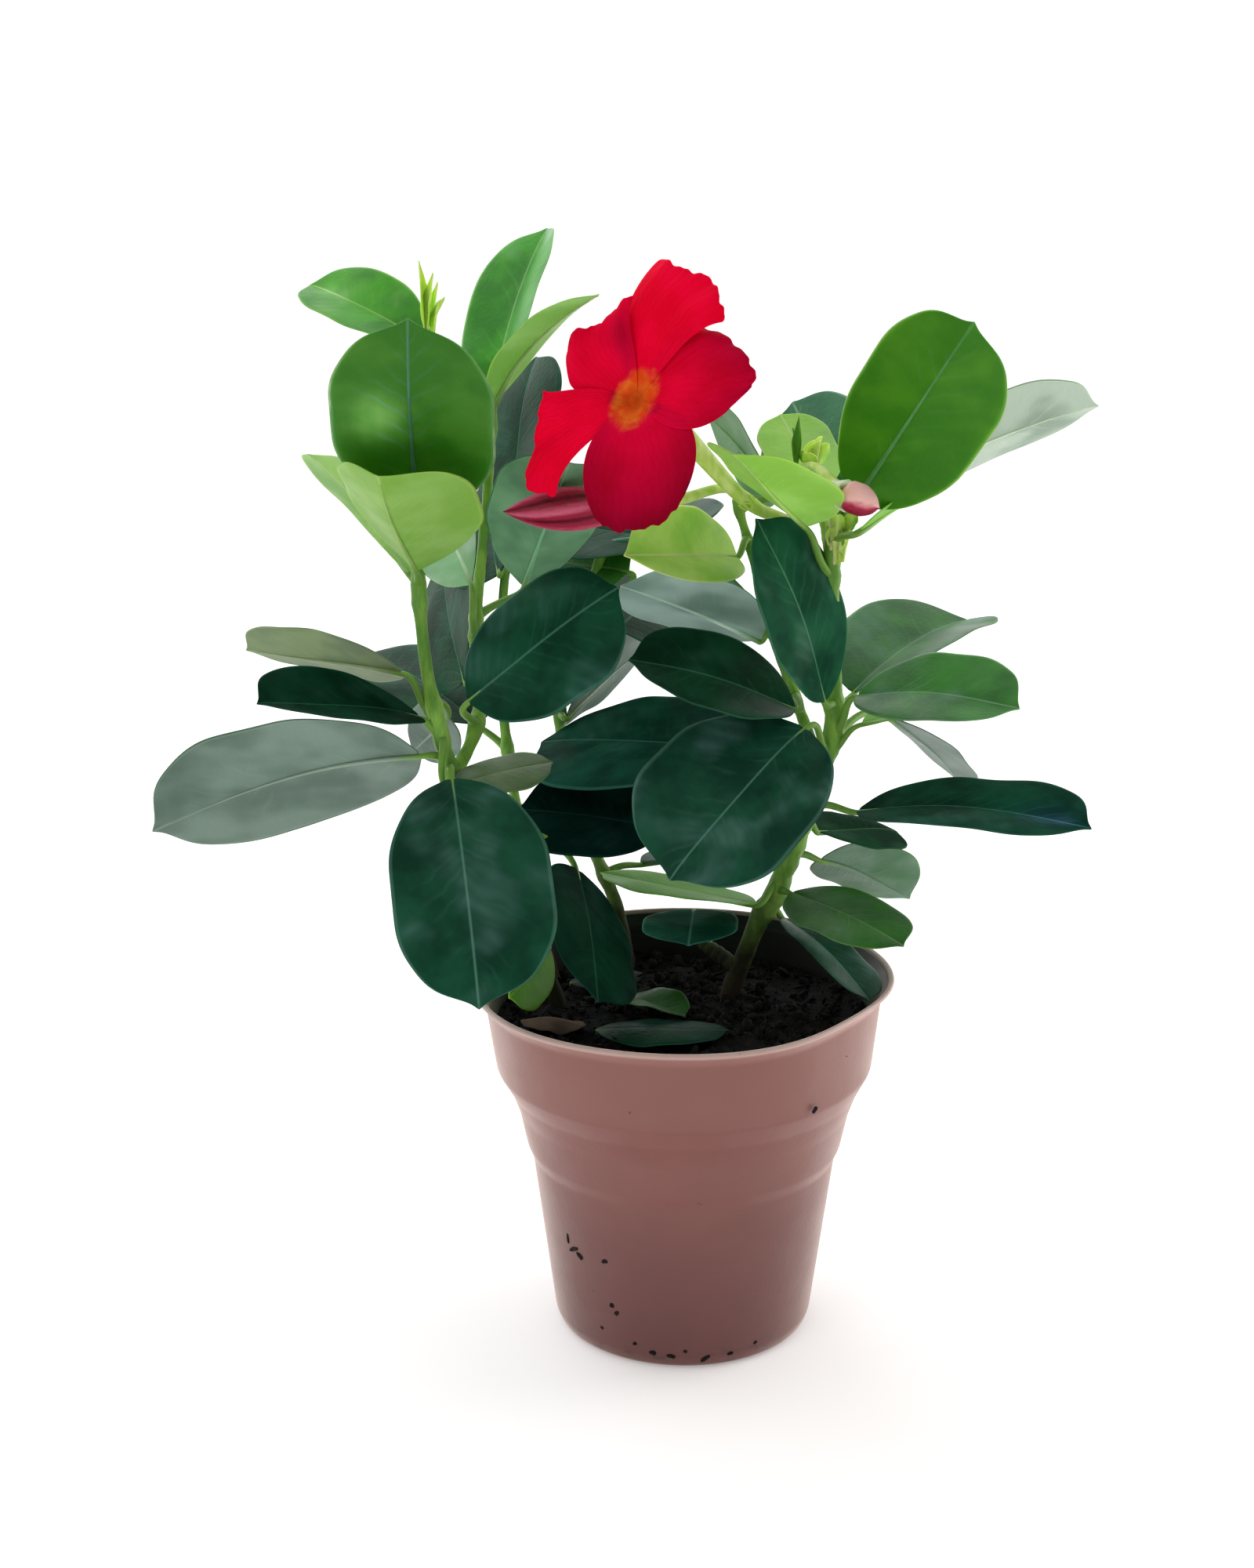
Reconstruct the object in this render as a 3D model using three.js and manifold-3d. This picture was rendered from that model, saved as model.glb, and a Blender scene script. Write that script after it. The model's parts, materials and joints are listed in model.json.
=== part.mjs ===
// Potted mandevilla: a young twining shrub in a plastic pot, with one open red flower, one furled flower
// and one bud. Millimetres, +Z up. The origin is the centre of the pot's base, on the standing surface.

import * as THREE from "three";
import { mergeVertices } from "three/addons/utils/BufferGeometryUtils.js";
import Module from "manifold-3d";

const wasm = await Module();
wasm.setup();

// ---- Driving dimensions --------------------------------------------------------------------------------

const RIM_RADIUS = 60;
const POT_HEIGHT = 104;
const POT_WALL = 1.2; // measured level
const POT_SIDES = 32;
const FLOOR_TOP = 1.8;
const FLOOR_CORNER = 2.6; // how far the floor's edge lies inside the outer wall
const HOLE_COUNT = 6;
const HOLE_RADIUS = 3.5;
const HOLE_RING = 23;
const HOLE_SIDES = 10;

const SOIL_LEVEL = 91.5;
const SOIL_RADIUS = 54;
const SOIL_MOUND = 1.6; // how far the middle stands above the edge
const GAP = 0.3; // between pieces that touch
const SLIVER = 0.02; // edges and steps finer than this are left out of a finished solid

const BLADE = 0.7;
const MIDRIB = 1.9;
const PETIOLE_WIDTH = 2.3;
const PETIOLE_EDGE = 1.1;
const PETIOLE_DEPTH = 2.2;
const PETIOLE_OUT = 0.4; // shares of the petiole's span that shape its curve
const PETIOLE_RISE = 0.25;
const PETIOLE_END = 0.35;
const STEM_SIDES = 6;
const STEM_STEP = 9;
const STALK_STEPS = 8;

const PETAL = 0.8;
const ROUND_SIDES = 12;

// ---- Colours and finishes ------------------------------------------------------------------------------

const finish = (color, roughness) => new THREE.MeshStandardMaterial({ color, roughness, metalness: 0 });
const POT_PLASTIC = finish(0x8e635b, 0.45);
const PEAT = finish(0x1d1714, 0.95);
const GREEN_STEM = finish(0x5f8a34, 0.5);
const YOUNG = finish(0x86b545, 0.4);
const FRESH = finish(0x3f7d24, 0.38);
const MATURE = finish(0x1d4634, 0.32);
const CRIMSON = finish(0xc60a24, 0.55);
const WINE = finish(0x8e1130, 0.5);
const PALE_GREEN = finish(0xb9c765, 0.5);
const PINK = finish(0xd9717d, 0.5);
const BROWN = finish(0x55433a, 0.85);
const GREY = finish(0x2f3334, 0.8);

// ---- Solids --------------------------------------------------------------------------------------------

const plant = new THREE.Group();

function addPiece(name, solid, material) {
  const mesh = new THREE.Mesh(geometryOf(solid.simplify(SLIVER)), material);
  mesh.name = name;
  plant.add(mesh);
}

// A closed geometry as a solid, with its doubled corners merged and its empty triangles left out.
function solidOf(geometry) {
  geometry.deleteAttribute("normal");
  geometry.deleteAttribute("uv");
  const merged = mergeVertices(geometry);
  const corners = merged.index.array;
  const kept = [];
  for (let i = 0; i < corners.length; i += 3) {
    const [a, b, c] = [corners[i], corners[i + 1], corners[i + 2]];
    if (a !== b && b !== c && c !== a) kept.push(a, b, c);
  }
  const vertProperties = new Float32Array(merged.attributes.position.array);
  return new wasm.Manifold(new wasm.Mesh({ numProp: 3, vertProperties, triVerts: new Uint32Array(kept) }));
}

function geometryOf(solid) {
  const mesh = solid.getMesh();
  const geometry = new THREE.BufferGeometry();
  geometry.setAttribute("position", new THREE.BufferAttribute(new Float32Array(mesh.vertProperties), 3));
  geometry.setIndex(new THREE.BufferAttribute(new Uint32Array(mesh.triVerts), 1));
  geometry.computeVertexNormals();
  return geometry;
}

const joined = (solids) => solids.reduce((whole, solid) => whole.add(solid));

// The biggest body of a solid, without the scraps that a cut leaves.
function largest(solid) {
  return solid.decompose().sort((a, b) => b.volume() - a.volume())[0];
}

const cutClear = (solid, others) => largest(others.reduce((rest, other) => rest.subtract(other), solid));
const vector = ([x, y, z]) => new THREE.Vector3(x, y, z);
const radians = THREE.MathUtils.degToRad;
const mix = THREE.MathUtils.lerp;

// A thin waved sheet over a grid: surfaceAt(row, v) gives a point, its normal and the thickness there. Both
// faces are split alike.
function sheet(rows, columns, surfaceAt) {
  const corners = [];
  const faces = [];
  const width = columns.length;
  const count = rows.length * width;
  for (const side of [0.5, -0.5]) {
    for (const row of rows) {
      for (const v of columns) {
        const { point, normal, thickness } = surfaceAt(row, v);
        corners.push(...point.addScaledVector(normal, side * thickness).toArray());
      }
    }
  }
  const quad = (a, b, c, d) => faces.push(a, b, c, a, c, d);
  for (let i = 0; i < rows.length - 1; i += 1) {
    for (let j = 0; j < width - 1; j += 1) {
      const a = i * width + j;
      quad(a, a + width, a + width + 1, a + 1);
      faces.push(a + count, a + width + 1 + count, a + width + count);
      faces.push(a + count, a + 1 + count, a + width + 1 + count);
    }
    const left = i * width;
    const right = left + width - 1;
    quad(left + width, left, left + count, left + width + count);
    quad(right, right + width, right + width + count, right + count);
  }
  for (let j = 0; j < width - 1; j += 1) {
    const end = count - width + j;
    quad(j, j + 1, j + 1 + count, j + count);
    quad(end + 1, end, end + count, end + 1 + count);
  }
  const geometry = new THREE.BufferGeometry();
  geometry.setAttribute("position", new THREE.Float32BufferAttribute(corners, 3));
  geometry.setIndex(faces);
  return solidOf(geometry);
}

// A round rod along a curve, its radius given at each share of its length.
function rod(curve, radiusAt, sides, steps) {
  const geometry = new THREE.CylinderGeometry(1, 1, 1, sides, steps);
  const frames = curve.computeFrenetFrames(steps);
  const place = geometry.attributes.position;
  for (let i = 0; i < place.count; i += 1) {
    const share = place.getY(i) + 0.5;
    const step = Math.round(share * steps);
    const radius = radiusAt(share);
    const point = curve.getPointAt(step / steps);
    point.addScaledVector(frames.normals[step], place.getX(i) * radius);
    point.addScaledVector(frames.binormals[step], -place.getZ(i) * radius);
    place.setXYZ(i, point.x, point.y, point.z);
  }
  return solidOf(geometry);
}

// ---- Pot -----------------------------------------------------------------------------------------------

// The outer wall, from the standing ring up: [height, radius]. A rolled lip, a collar, its shoulder and a
// second, lower step stand above the plain tapered wall.
const WALL_PROFILE = [
  [0, 34], [1.2, 36], [4, 37.1], [52, 43.4], [55.5, 45], [66, 47.2], [72.5, 49.6], [79, 53.4], [99.5, 56.4],
  [102, 58.4], [POT_HEIGHT - 0.8, RIM_RADIUS], [POT_HEIGHT, RIM_RADIUS - 0.3],
];

function wallRadius(height) {
  const above = WALL_PROFILE.findIndex(([level]) => level >= height);
  if (above <= 0) return WALL_PROFILE[0][1];
  const [low, lowRadius] = WALL_PROFILE[above - 1];
  const [high, highRadius] = WALL_PROFILE[above];
  return mix(lowRadius, highRadius, (height - low) / (high - low));
}

// The thin wall has been squeezed at one side of the front and bulges at the other.
const SQUEEZES = [
  { at: -36, amount: -4.2, spread: 26 },
  { at: -138, amount: 1.4, spread: 26 },
];
const SQUEEZE_FROM = 66;

function squeeze(point) {
  const strength = THREE.MathUtils.smoothstep(point.z, SQUEEZE_FROM, POT_HEIGHT);
  const angle = THREE.MathUtils.radToDeg(Math.atan2(point.y, point.x));
  const radius = Math.hypot(point.x, point.y);
  if (strength === 0 || radius === 0) return;
  let change = 0;
  for (const { at, amount, spread } of SQUEEZES) {
    const away = (((angle - at) % 360) + 540) % 360 - 180;
    change += amount * Math.exp(-((away / spread) ** 2));
  }
  const scale = 1 + (strength * change) / RIM_RADIUS;
  point.x *= scale;
  point.y *= scale;
}

// Turns a profile of [radius, height] points about the pot's axis, then shapes each corner.
function turned(profile, shapeCorner) {
  const geometry = new THREE.LatheGeometry(profile.map(([r, z]) => new THREE.Vector2(r, z)), POT_SIDES);
  geometry.rotateX(Math.PI / 2);
  const place = geometry.attributes.position;
  const corner = new THREE.Vector3();
  for (let i = 0; i < place.count; i += 1) {
    corner.fromBufferAttribute(place, i);
    shapeCorner(corner);
    place.setXYZ(i, corner.x, corner.y, corner.z);
  }
  return solidOf(geometry);
}

function buildPot() {
  const outside = WALL_PROFILE.map(([z, r]) => [r, z]);
  const innerLevels = [POT_HEIGHT, 100.5, 79, 72.5, 66, 55.5, 52, 7];
  const inside = innerLevels.map((z) => [wallRadius(z) - POT_WALL, z]);
  const floorEdge = wallRadius(4) - FLOOR_CORNER;
  let pot = turned([[0, 0], ...outside, ...inside, [floorEdge, FLOOR_TOP], [0, FLOOR_TOP]], squeeze);
  for (let i = 0; i < HOLE_COUNT; i += 1) {
    const angle = (i / HOLE_COUNT) * 2 * Math.PI;
    const hole = new THREE.CylinderGeometry(HOLE_RADIUS, HOLE_RADIUS, 4 * FLOOR_TOP, HOLE_SIDES);
    hole.rotateX(Math.PI / 2);
    hole.translate(HOLE_RING * Math.cos(angle), HOLE_RING * Math.sin(angle), 0);
    pot = pot.subtract(solidOf(hole));
  }
  return pot;
}

// ---- Soil ----------------------------------------------------------------------------------------------

// Crumbly peat: a low mound with soft lumps that fade out at the wall.
function soilHeight(x, y) {
  const share = Math.min(1, Math.hypot(x, y) / SOIL_RADIUS);
  const lumps = 0.9 * Math.sin(0.23 * x + 1) * Math.cos(0.19 * y) + 0.5 * Math.sin(0.51 * x + 0.37 * y);
  return SOIL_LEVEL + SOIL_MOUND * (1 - share ** 2) + lumps * (1 - share ** 4);
}

function buildSoil(holes) {
  const clear = POT_WALL + GAP + 0.1;
  const bottom = FLOOR_TOP + GAP;
  const bottomEdge = wallRadius(4) - FLOOR_CORNER - 2 * GAP;
  const wallLevels = [9, 52, 55.5, 66, 72.5, 79, SOIL_LEVEL];
  const walls = wallLevels.map((z) => [wallRadius(z) - clear, z]);
  const topRings = [50, 43, 34, 24, 13, 0].map((radius) => [radius, SOIL_LEVEL]);
  const profile = [[0, bottom], [bottomEdge, bottom], ...walls, ...topRings];
  const soil = turned(profile, (corner) => {
    const onTop = Math.abs(corner.z - SOIL_LEVEL) < 0.01;
    squeeze(corner);
    if (onTop) corner.z = soilHeight(corner.x, corner.y);
  });
  return holes.reduce((rest, hole) => rest.subtract(hole), soil);
}

// ---- Stems ---------------------------------------------------------------------------------------------

// Each stem is a list of points chosen by hand, with its radius at the foot and at the tip.
const STEMS = {
  left: {
    points: [[-33, 12, 66], [-36, 9, 92], [-46, 4, 118], [-54, -3, 143], [-64, -10, 166], [-67, -11, 179],
      [-70, -10, 194], [-72, -8, 219], [-71, -6, 244], [-69, -2, 270], [-69, -1, 284]],
    foot: 2.7,
    tip: 1.5,
  },
  leftSide: {
    points: [[-64, -9, 165], [-59, -2, 173], [-57, 4, 182], [-58, 10, 202], [-55, 16, 234], [-53, 19, 260]],
    foot: 1.9,
    tip: 1.2,
  },
  right: {
    points: [[11, 15, 66], [13, 14, 91], [17, 13, 104], [22, 11, 118], [26, 10, 125], [29, 9, 135],
      [34, 8, 149], [38, 8, 164], [41, 9, 171], [41, 11, 191], [40, 12, 218], [41, 12, 234]],
    foot: 3.6,
    tip: 1.4,
  },
  rightLow: { points: [[16, 13, 101], [10, 18, 104], [2, 24, 108]], foot: 2, tip: 1.4 },
  rightSide: {
    points: [[38, 8, 163], [30, 16, 183], [24, 20, 200], [18, 24, 222], [14, 26, 235]],
    foot: 1.7,
    tip: 1.1,
  },
  rightTop: { points: [[40, 12, 216], [38, 17, 230], [35, 16, 242], [31, 13, 250]], foot: 1.5, tip: 1 },
  middle: {
    points: [[-17, 38, 66], [-16, 40, 92], [-19, 42, 109], [-30, 44, 138], [-36, 46, 166], [-31, 48, 194],
      [-23, 50, 217]],
    foot: 2.2,
    tip: 1.2,
  },
  back: {
    points: [[-30, 27, 68], [-39, 30, 96], [-46, 34, 129], [-51, 38, 159], [-53, 40, 187], [-51, 42, 214],
      [-49, 43, 232]],
    foot: 2,
    tip: 1.1,
  },
};

for (const stem of Object.values(STEMS)) {
  stem.curve = new THREE.CatmullRomCurve3(stem.points.map(vector));
}

function stemSolid({ curve, foot, tip }, extra = 0) {
  const steps = Math.ceil(curve.getLength() / STEM_STEP);
  return rod(curve, (share) => mix(foot, tip, share) + extra, STEM_SIDES, steps);
}

// The point of a stem's middle line at a height.
function stemPoint(curve, height) {
  let low = 0;
  let high = 1;
  for (let i = 0; i < 20; i += 1) {
    const half = (low + high) / 2;
    if (curve.getPointAt(half).z < height) low = half;
    else high = half;
  }
  return curve.getPointAt(low);
}

// ---- Leaves --------------------------------------------------------------------------------------------

// A blade's own axes: along its chord, across it, and out of its upper face. The azimuth counts from +X to
// +Y, the rise up from level, and the roll turns the upper face about the chord.
function bladeAxes([azimuth, rise, roll]) {
  const [a, e, r] = [azimuth, rise, roll].map(radians);
  const along = new THREE.Vector3(Math.cos(a) * Math.cos(e), Math.sin(a) * Math.cos(e), Math.sin(e));
  const level = new THREE.Vector3(-Math.cos(a) * Math.sin(e), -Math.sin(a) * Math.sin(e), Math.cos(e));
  const side = new THREE.Vector3().crossVectors(level, along);
  const up = level.clone().multiplyScalar(Math.cos(r)).addScaledVector(side, Math.sin(r));
  const across = side.multiplyScalar(Math.cos(r)).addScaledVector(level, -Math.sin(r));
  return { along, across, up };
}

// Half the blade's width, as a share of its greatest half width, at shares of its length: a full oval that
// ends in a short blunt cusp.
const OUTLINE = [[0, 0.06], [0.06, 0.42], [0.2, 0.77], [0.42, 0.98], [0.64, 0.98], [0.82, 0.8], [0.93, 0.46],
  [0.968, 0.14], [1, 0]];
const EDGE_CURL = 0.06;

// Cross sections of a blade that is bent along its midrib by "bend" degrees in all, tip down, with each half
// raised by "fold" degrees.
function bladeSections(base, turn, [length, width], bend, fold) {
  const { along, across, up } = bladeAxes(turn);
  const total = radians(bend || 0.1);
  const reach = length / total;
  return OUTLINE.map(([share, fullness]) => {
    const slope = total / 2 - total * share;
    const centre = base.clone();
    centre.addScaledVector(along, reach * (Math.sin(total / 2) - Math.sin(slope)));
    centre.addScaledVector(up, reach * (Math.cos(slope) - Math.cos(total / 2)));
    const normal = along.clone().multiplyScalar(-Math.sin(slope)).addScaledVector(up, Math.cos(slope));
    const half = (width / 2) * fullness;
    const curl = EDGE_CURL * half * fullness;
    const edge = BLADE / Math.cos(radians(fold)) + 0.4 * Math.max(0, 1 - share * 10);
    const middle = mix(MIDRIB, BLADE, share ** 0.6);
    return { centre, across, normal, half, curl, tilt: radians(fold), edge, middle };
  });
}

// Cross sections of a petiole along a curve that ends at the blade's foot, without turning about the curve.
function petioleSections(curve, across) {
  const sections = [];
  let side = across.clone();
  let ahead = curve.getTangentAt(1);
  for (const share of [0.75, 0.5, 0.25, 0]) {
    const tangent = curve.getTangentAt(share);
    side = side.clone().applyQuaternion(new THREE.Quaternion().setFromUnitVectors(ahead, tangent));
    ahead = tangent;
    const normal = new THREE.Vector3().crossVectors(tangent, side);
    const section = { centre: curve.getPointAt(share), across: side, normal, curl: 0, tilt: 0 };
    sections.unshift({ ...section, half: PETIOLE_WIDTH / 2, edge: PETIOLE_EDGE, middle: PETIOLE_DEPTH });
  }
  return sections;
}

// A closed ribbon through cross sections of three points each.
function ribbon(sections) {
  const surfaceAt = ({ centre, across, normal, half, curl, tilt, edge, middle }, v) => {
    const point = centre.clone().addScaledVector(across, half * v * Math.cos(tilt));
    point.addScaledVector(normal, Math.abs(v) * (half * Math.sin(tilt) - curl));
    return { point, normal, thickness: v === 0 ? middle : edge };
  };
  return sheet(sections, [-1, 0, 1], surfaceAt);
}

// A leaf with its petiole, which grows out of the stem's middle line at a height.
function leafSolid(stem, height, place, turn, size, bend, fold) {
  const base = vector(place);
  const root = stemPoint(STEMS[stem].curve, height);
  const { along, across, up } = bladeAxes(turn);
  const start = radians(bend) / 2;
  const leaving = along.clone().multiplyScalar(Math.cos(start)).addScaledVector(up, Math.sin(start));
  const span = base.distanceTo(root);
  const outward = new THREE.Vector3().subVectors(base, root).setZ(0).setLength(PETIOLE_OUT * span).add(root);
  outward.z += PETIOLE_RISE * span;
  const before = base.clone().addScaledVector(leaving, -PETIOLE_END * span);
  const curve = new THREE.CubicBezierCurve3(root, outward, before, base);
  return ribbon([...petioleSections(curve, across), ...bladeSections(base, turn, size, bend, fold)]);
}

// Every leaf of its own: name, stem, height of its node, foot of the blade, [azimuth, rise, roll] in degrees,
// [length, width], bend, fold and age.
const LEAVES = [
  ["leaf_left_1", "left", 281, [-71, 5, 281], [139, 16, 26], [45, 25], 20, 18, FRESH],
  ["leaf_left_2", "left", 241, [-71, -12, 246], [-89, 64, 7], [53, 44], -29, -7, FRESH],
  ["leaf_left_3", "leftSide", 257, [-53, 24, 262], [63, 55, 23], [56, 33], 24, 20, FRESH],
  ["leaf_left_4", "leftSide", 255, [-52, 14, 264], [-46, 37, -6], [52, 20], 34, 13, YOUNG],
  ["leaf_left_5", "left", 218, [-72, -14, 223], [-99, 40, 9], [48, 45], -14, 32, YOUNG],
  ["leaf_left_6", "left", 214, [-75, 2, 219], [140, 36, -10], [49, 30], 15, 20, YOUNG],
  ["leaf_left_7", "leftSide", 200, [-59, 3, 216], [-105, 45, -60], [37, 22], 2, 20, FRESH],
  ["leaf_left_8", "leftSide", 205, [-45, 20, 212], [-70, 45, 17], [57, 35], 8, 26, MATURE],
  ["leaf_left_9", "leftSide", 177, [-59, -12, 187], [3, 37, -41], [51, 43], 12, 1, MATURE],
  ["leaf_left_10", "left", 181, [-77, -8, 194], [153, 1, -37], [51, 33], 4, 10, FRESH],
  ["leaf_left_11", "left", 177, [-72, -14, 183], [-142, 13, 15], [51, 34], 15, 14, MATURE],
  ["leaf_left_12", "left", 170, [-72, -16, 173], [172, -18, -56], [81, 44], 32, 6, MATURE],
  ["leaf_left_13", "left", 176, [-64, -18, 165], [15, 9, -12], [29, 21], 4, 2, FRESH],
  ["leaf_left_14", "left", 167, [-63, -22, 168], [-78, -50, -4], [66, 44], 29, 7, MATURE],
  ["leaf_left_15", "left", 145, [-30, -2, 136], [-82, -28, 45], [49, 38], 9, 4, MATURE],
  ["leaf_left_16", "left", 112, [-38, 0, 112], [-108, -5, 70], [33, 18], 9, 8, YOUNG],
  ["leaf_left_17", "left", 185, [-65, -2, 180], [118, -32, -66], [31, 19], 15, 12, FRESH],
  ["leaf_middle_1", "rightSide", 224, [14, 18, 220], [-137, 8, 52], [43, 36], 6, 42, YOUNG],
  ["leaf_middle_2", "rightSide", 199, [21, 22, 196], [-159, 24, -32], [46, 38], 11, 10, MATURE],
  ["leaf_middle_3", "rightSide", 181, [30, 3, 181], [-173, 18, 23], [49, 38], 19, 13, MATURE],
  ["leaf_middle_4", "rightSide", 202, [22, 26, 201], [113, 6, -49], [40, 26], 10, 12, FRESH],
  ["leaf_middle_5", "right", 167, [32, -7, 178], [-147, -39, 19], [57, 57], 22, 12, MATURE],
  ["leaf_middle_6", "right", 163, [15, 3, 169], [148, -6, 17], [67, 55], 13, 2, MATURE],
  ["leaf_middle_7", "right", 140, [-6, 6, 145], [166, 6, 8], [43, 42], 17, 9, MATURE],
  ["leaf_middle_8", "right", 128, [20, 4, 124], [160, 5, -9], [47, 32], -1, 4, YOUNG],
  ["leaf_middle_9", "rightLow", 104, [3, 22, 116], [-94, 1, -1], [32, 28], 12, 5, MATURE],
  ["leaf_right_1", "right", 234, [45, 7, 237], [-51, 51, 66], [67, 41], 0, 16, FRESH],
  ["leaf_right_2", "right", 228, [55, 31, 235], [21, 18, 47], [73, 37], 25, 13, MATURE],
  ["leaf_right_3", "right", 222, [44, 28, 233], [109, 33, 45], [45, 34], 5, 3, MATURE],
  ["leaf_right_4", "rightTop", 238, [37, 18, 239], [107, 27, 11], [37, 22], 4, 7, YOUNG],
  ["leaf_right_5", "rightSide", 232, [25, 34, 236], [117, 24, -66], [44, 32], 7, 0, FRESH],
  ["leaf_right_6", "right", 216, [32, 2, 232], [-125, 33, 5], [44, 39], 0, 19, YOUNG],
  ["leaf_right_7", "right", 220, [43, -1, 228], [51, 10, 19], [36, 13], 11, 9, YOUNG],
  ["leaf_right_8", "right", 180, [38, 0, 184], [-172, 65, 40], [56, 35], 18, 9, MATURE],
  ["leaf_right_9", "right", 174, [48, 26, 180], [48, 12, 1], [58, 48], 28, 19, FRESH],
  ["leaf_right_10", "right", 172, [47, 2, 185], [-31, 3, -20], [48, 36], 21, 14, FRESH],
  ["leaf_right_11", "right", 168, [60, 36, 170], [52, -35, -13], [48, 28], 13, 8, FRESH],
  ["leaf_right_12", "right", 151, [48, 2, 152], [-29, 4, -7], [68, 40], 21, 10, MATURE],
  ["leaf_right_13", "right", 147, [38, 12, 143], [44, -12, -14], [35, 25], 9, 1, MATURE],
  ["leaf_right_14", "right", 135, [39, 17, 133], [36, -28, 41], [40, 27], 22, 16, FRESH],
  ["leaf_right_15", "right", 125, [30, 2, 128], [-45, -8, -5], [41, 30], 13, 4, FRESH],
  ["leaf_right_16", "right", 120, [29, 14, 116], [-52, -22, 18], [39, 26], 23, 9, MATURE],
  ["leaf_right_17", "right", 165, [49, 7, 176], [4, 8, 0], [28, 18], 14, 8, YOUNG],
];

// The leaves of the two rear shoots stand so close that each shoot is one piece with them.
const MIDDLE_LEAVES = [
  [217, [-5, 46, 220], [150, 2, 20], [52, 40], 8, 5],
  [194, [-16, 40, 212], [130, -3, 52], [33, 24], 4, 4],
  [215, [4, 60, 221], [106, -4, 20], [40, 29], 6, 5],
  [168, [-34, 40, 169], [58, 14, 58], [47, 35], 19, 8],
  [193, [-19, 46, 194], [74, 2, -35], [44, 40], 8, 5],
  [140, [-22, 50, 145], [70, 6, 10], [58, 42], 20, 8],
  [120, [-12, 48, 122], [20, -6, 10], [50, 36], 20, 8],
];
const BACK_LEAVES = [
  [231, [-49, 42, 235], [73, 58, 42], [42, 41], 11, 5],
  [213, [-53, 36, 212], [98, 22, 49], [50, 39], 4, 4],
  [186, [-63, 30, 182], [100, 31, 71], [57, 41], 11, 7],
  [160, [-60, 44, 166], [130, 10, 5], [60, 42], 22, 8],
  [130, [-52, 42, 134], [105, -8, -10], [56, 38], 24, 8],
];

// Small unopened blades at a growing tip.
function tipBlades(blades) {
  return blades.map(([place, turn, size]) => ribbon(bladeSections(vector(place), turn, size, 6, 20)));
}
const LEFT_TIP = [
  [[-69, -1, 282], [-100, 78, 0], [21, 5]],
  [[-68, 0, 283], [80, 80, 0], [18, 6]],
];
const RIGHT_TIP = [
  [[31, 13, 248], [-120, 84, 0], [12, 3]],
  [[35, 16, 241], [-60, 72, 20], [13, 6]],
];
const RIGHT_BRACTS = [
  [[41, 12, 225], [-140, 70, 10], [15, 7]],
  [[40, 12, 212], [-20, 62, -20], [13, 6]],
];

const LEFT_VINE = ["left", "leftSide"];
const RIGHT_VINE = ["right", "rightLow", "rightSide", "rightTop"];

function buildStems() {
  const leftRods = LEFT_VINE.map((name) => stemSolid(STEMS[name]));
  const rightRods = RIGHT_VINE.map((name) => stemSolid(STEMS[name]));
  const left = joined([...leftRods, ...tipBlades(LEFT_TIP)]);
  const right = joined([...rightRods, ...tipBlades(RIGHT_TIP), ...tipBlades(RIGHT_BRACTS)]);
  addPiece("stem_left", largest(left), GREEN_STEM);
  addPiece("stem_right", largest(right), GREEN_STEM);
  for (const [stem, leaves] of Object.entries({ middle: MIDDLE_LEAVES, back: BACK_LEAVES })) {
    const solids = leaves.map((leaf) => leafSolid(stem, ...leaf));
    addPiece(`shoot_${stem}`, largest(joined([stemSolid(STEMS[stem]), ...solids])), MATURE);
  }
}

// Each leaf stands off the stems of its own vine by the gap.
function buildLeaves() {
  const leftVine = LEFT_VINE.map((name) => stemSolid(STEMS[name], GAP));
  const rightVine = RIGHT_VINE.map((name) => stemSolid(STEMS[name], GAP));
  for (const [name, stem, height, place, turn, size, bend, fold, age] of LEAVES) {
    const vine = LEFT_VINE.includes(stem) ? leftVine : rightVine;
    addPiece(name, cutClear(leafSolid(stem, height, place, turn, size, bend, fold), vine), age);
  }
}

// ---- Flowers -------------------------------------------------------------------------------------------

const THROAT = [-14.7, -30, 270.3];
const FACING = [-117, 14];
const TUBE_END = 14;
const RING_FOOT = GAP - TUBE_END;
const RING_PROFILE = [[5.2, RING_FOOT], [6.2, -7], [8, -1], [7.1, -0.5], [5.3, -7], [4.3, RING_FOOT]];

// The open flower's own axes: "right" and "above" lie in the plane of its limb, and "out" is where it faces.
function flowerAxes() {
  const [a, e] = FACING.map(radians);
  const out = new THREE.Vector3(Math.cos(a) * Math.cos(e), Math.sin(a) * Math.cos(e), Math.sin(e));
  const right = new THREE.Vector3(0, 0, 1).cross(out).normalize();
  const above = new THREE.Vector3().crossVectors(right, out.clone().negate());
  return { right, above, out };
}

// The five lobes, in the limb's plane: the angles that the root spans at the throat, then five places half
// way out and five on the ragged far edge, each as [angle, distance from the throat's middle]. "lean" is how
// far the far edge bends out (+) or back (-).
const LOBES = [
  { root: [44, 126], lean: -4, middle: [[50, 19], [62, 20], [75, 21], [88, 21], [102, 20]],
    edge: [[43, 30], [54, 34], [66, 35], [75, 34], [84, 35]] },
  { root: [-40, 72], lean: -5, middle: [[-28, 18], [-5, 20], [18, 21], [38, 20], [60, 18]],
    edge: [[-7, 24], [7, 29], [16, 32], [34, 28], [57, 23]] },
  { root: [-142, -8], lean: -2, middle: [[-127, 19], [-100, 21], [-78, 22], [-54, 21], [-30, 18]],
    edge: [[-98, 33], [-89, 33], [-76, 33], [-65, 31], [-53, 29]] },
  { root: [-200, -128], lean: 2, middle: [[-183, 18], [-170, 19], [-158, 20], [-146, 20], [-133, 19]],
    edge: [[-181, 24], [-165, 25], [-150, 30], [-136, 36], [-124, 32]] },
  { root: [84, 200], lean: -1, middle: [[99, 16], [118, 16], [140, 16], [160, 17], [178, 16]],
    edge: [[100, 25], [110, 24], [127, 22], [145, 25], [172, 18]] },
];
const LOBE_ROWS = [0, 0.25, 0.5, 0.8, 1];
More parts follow.
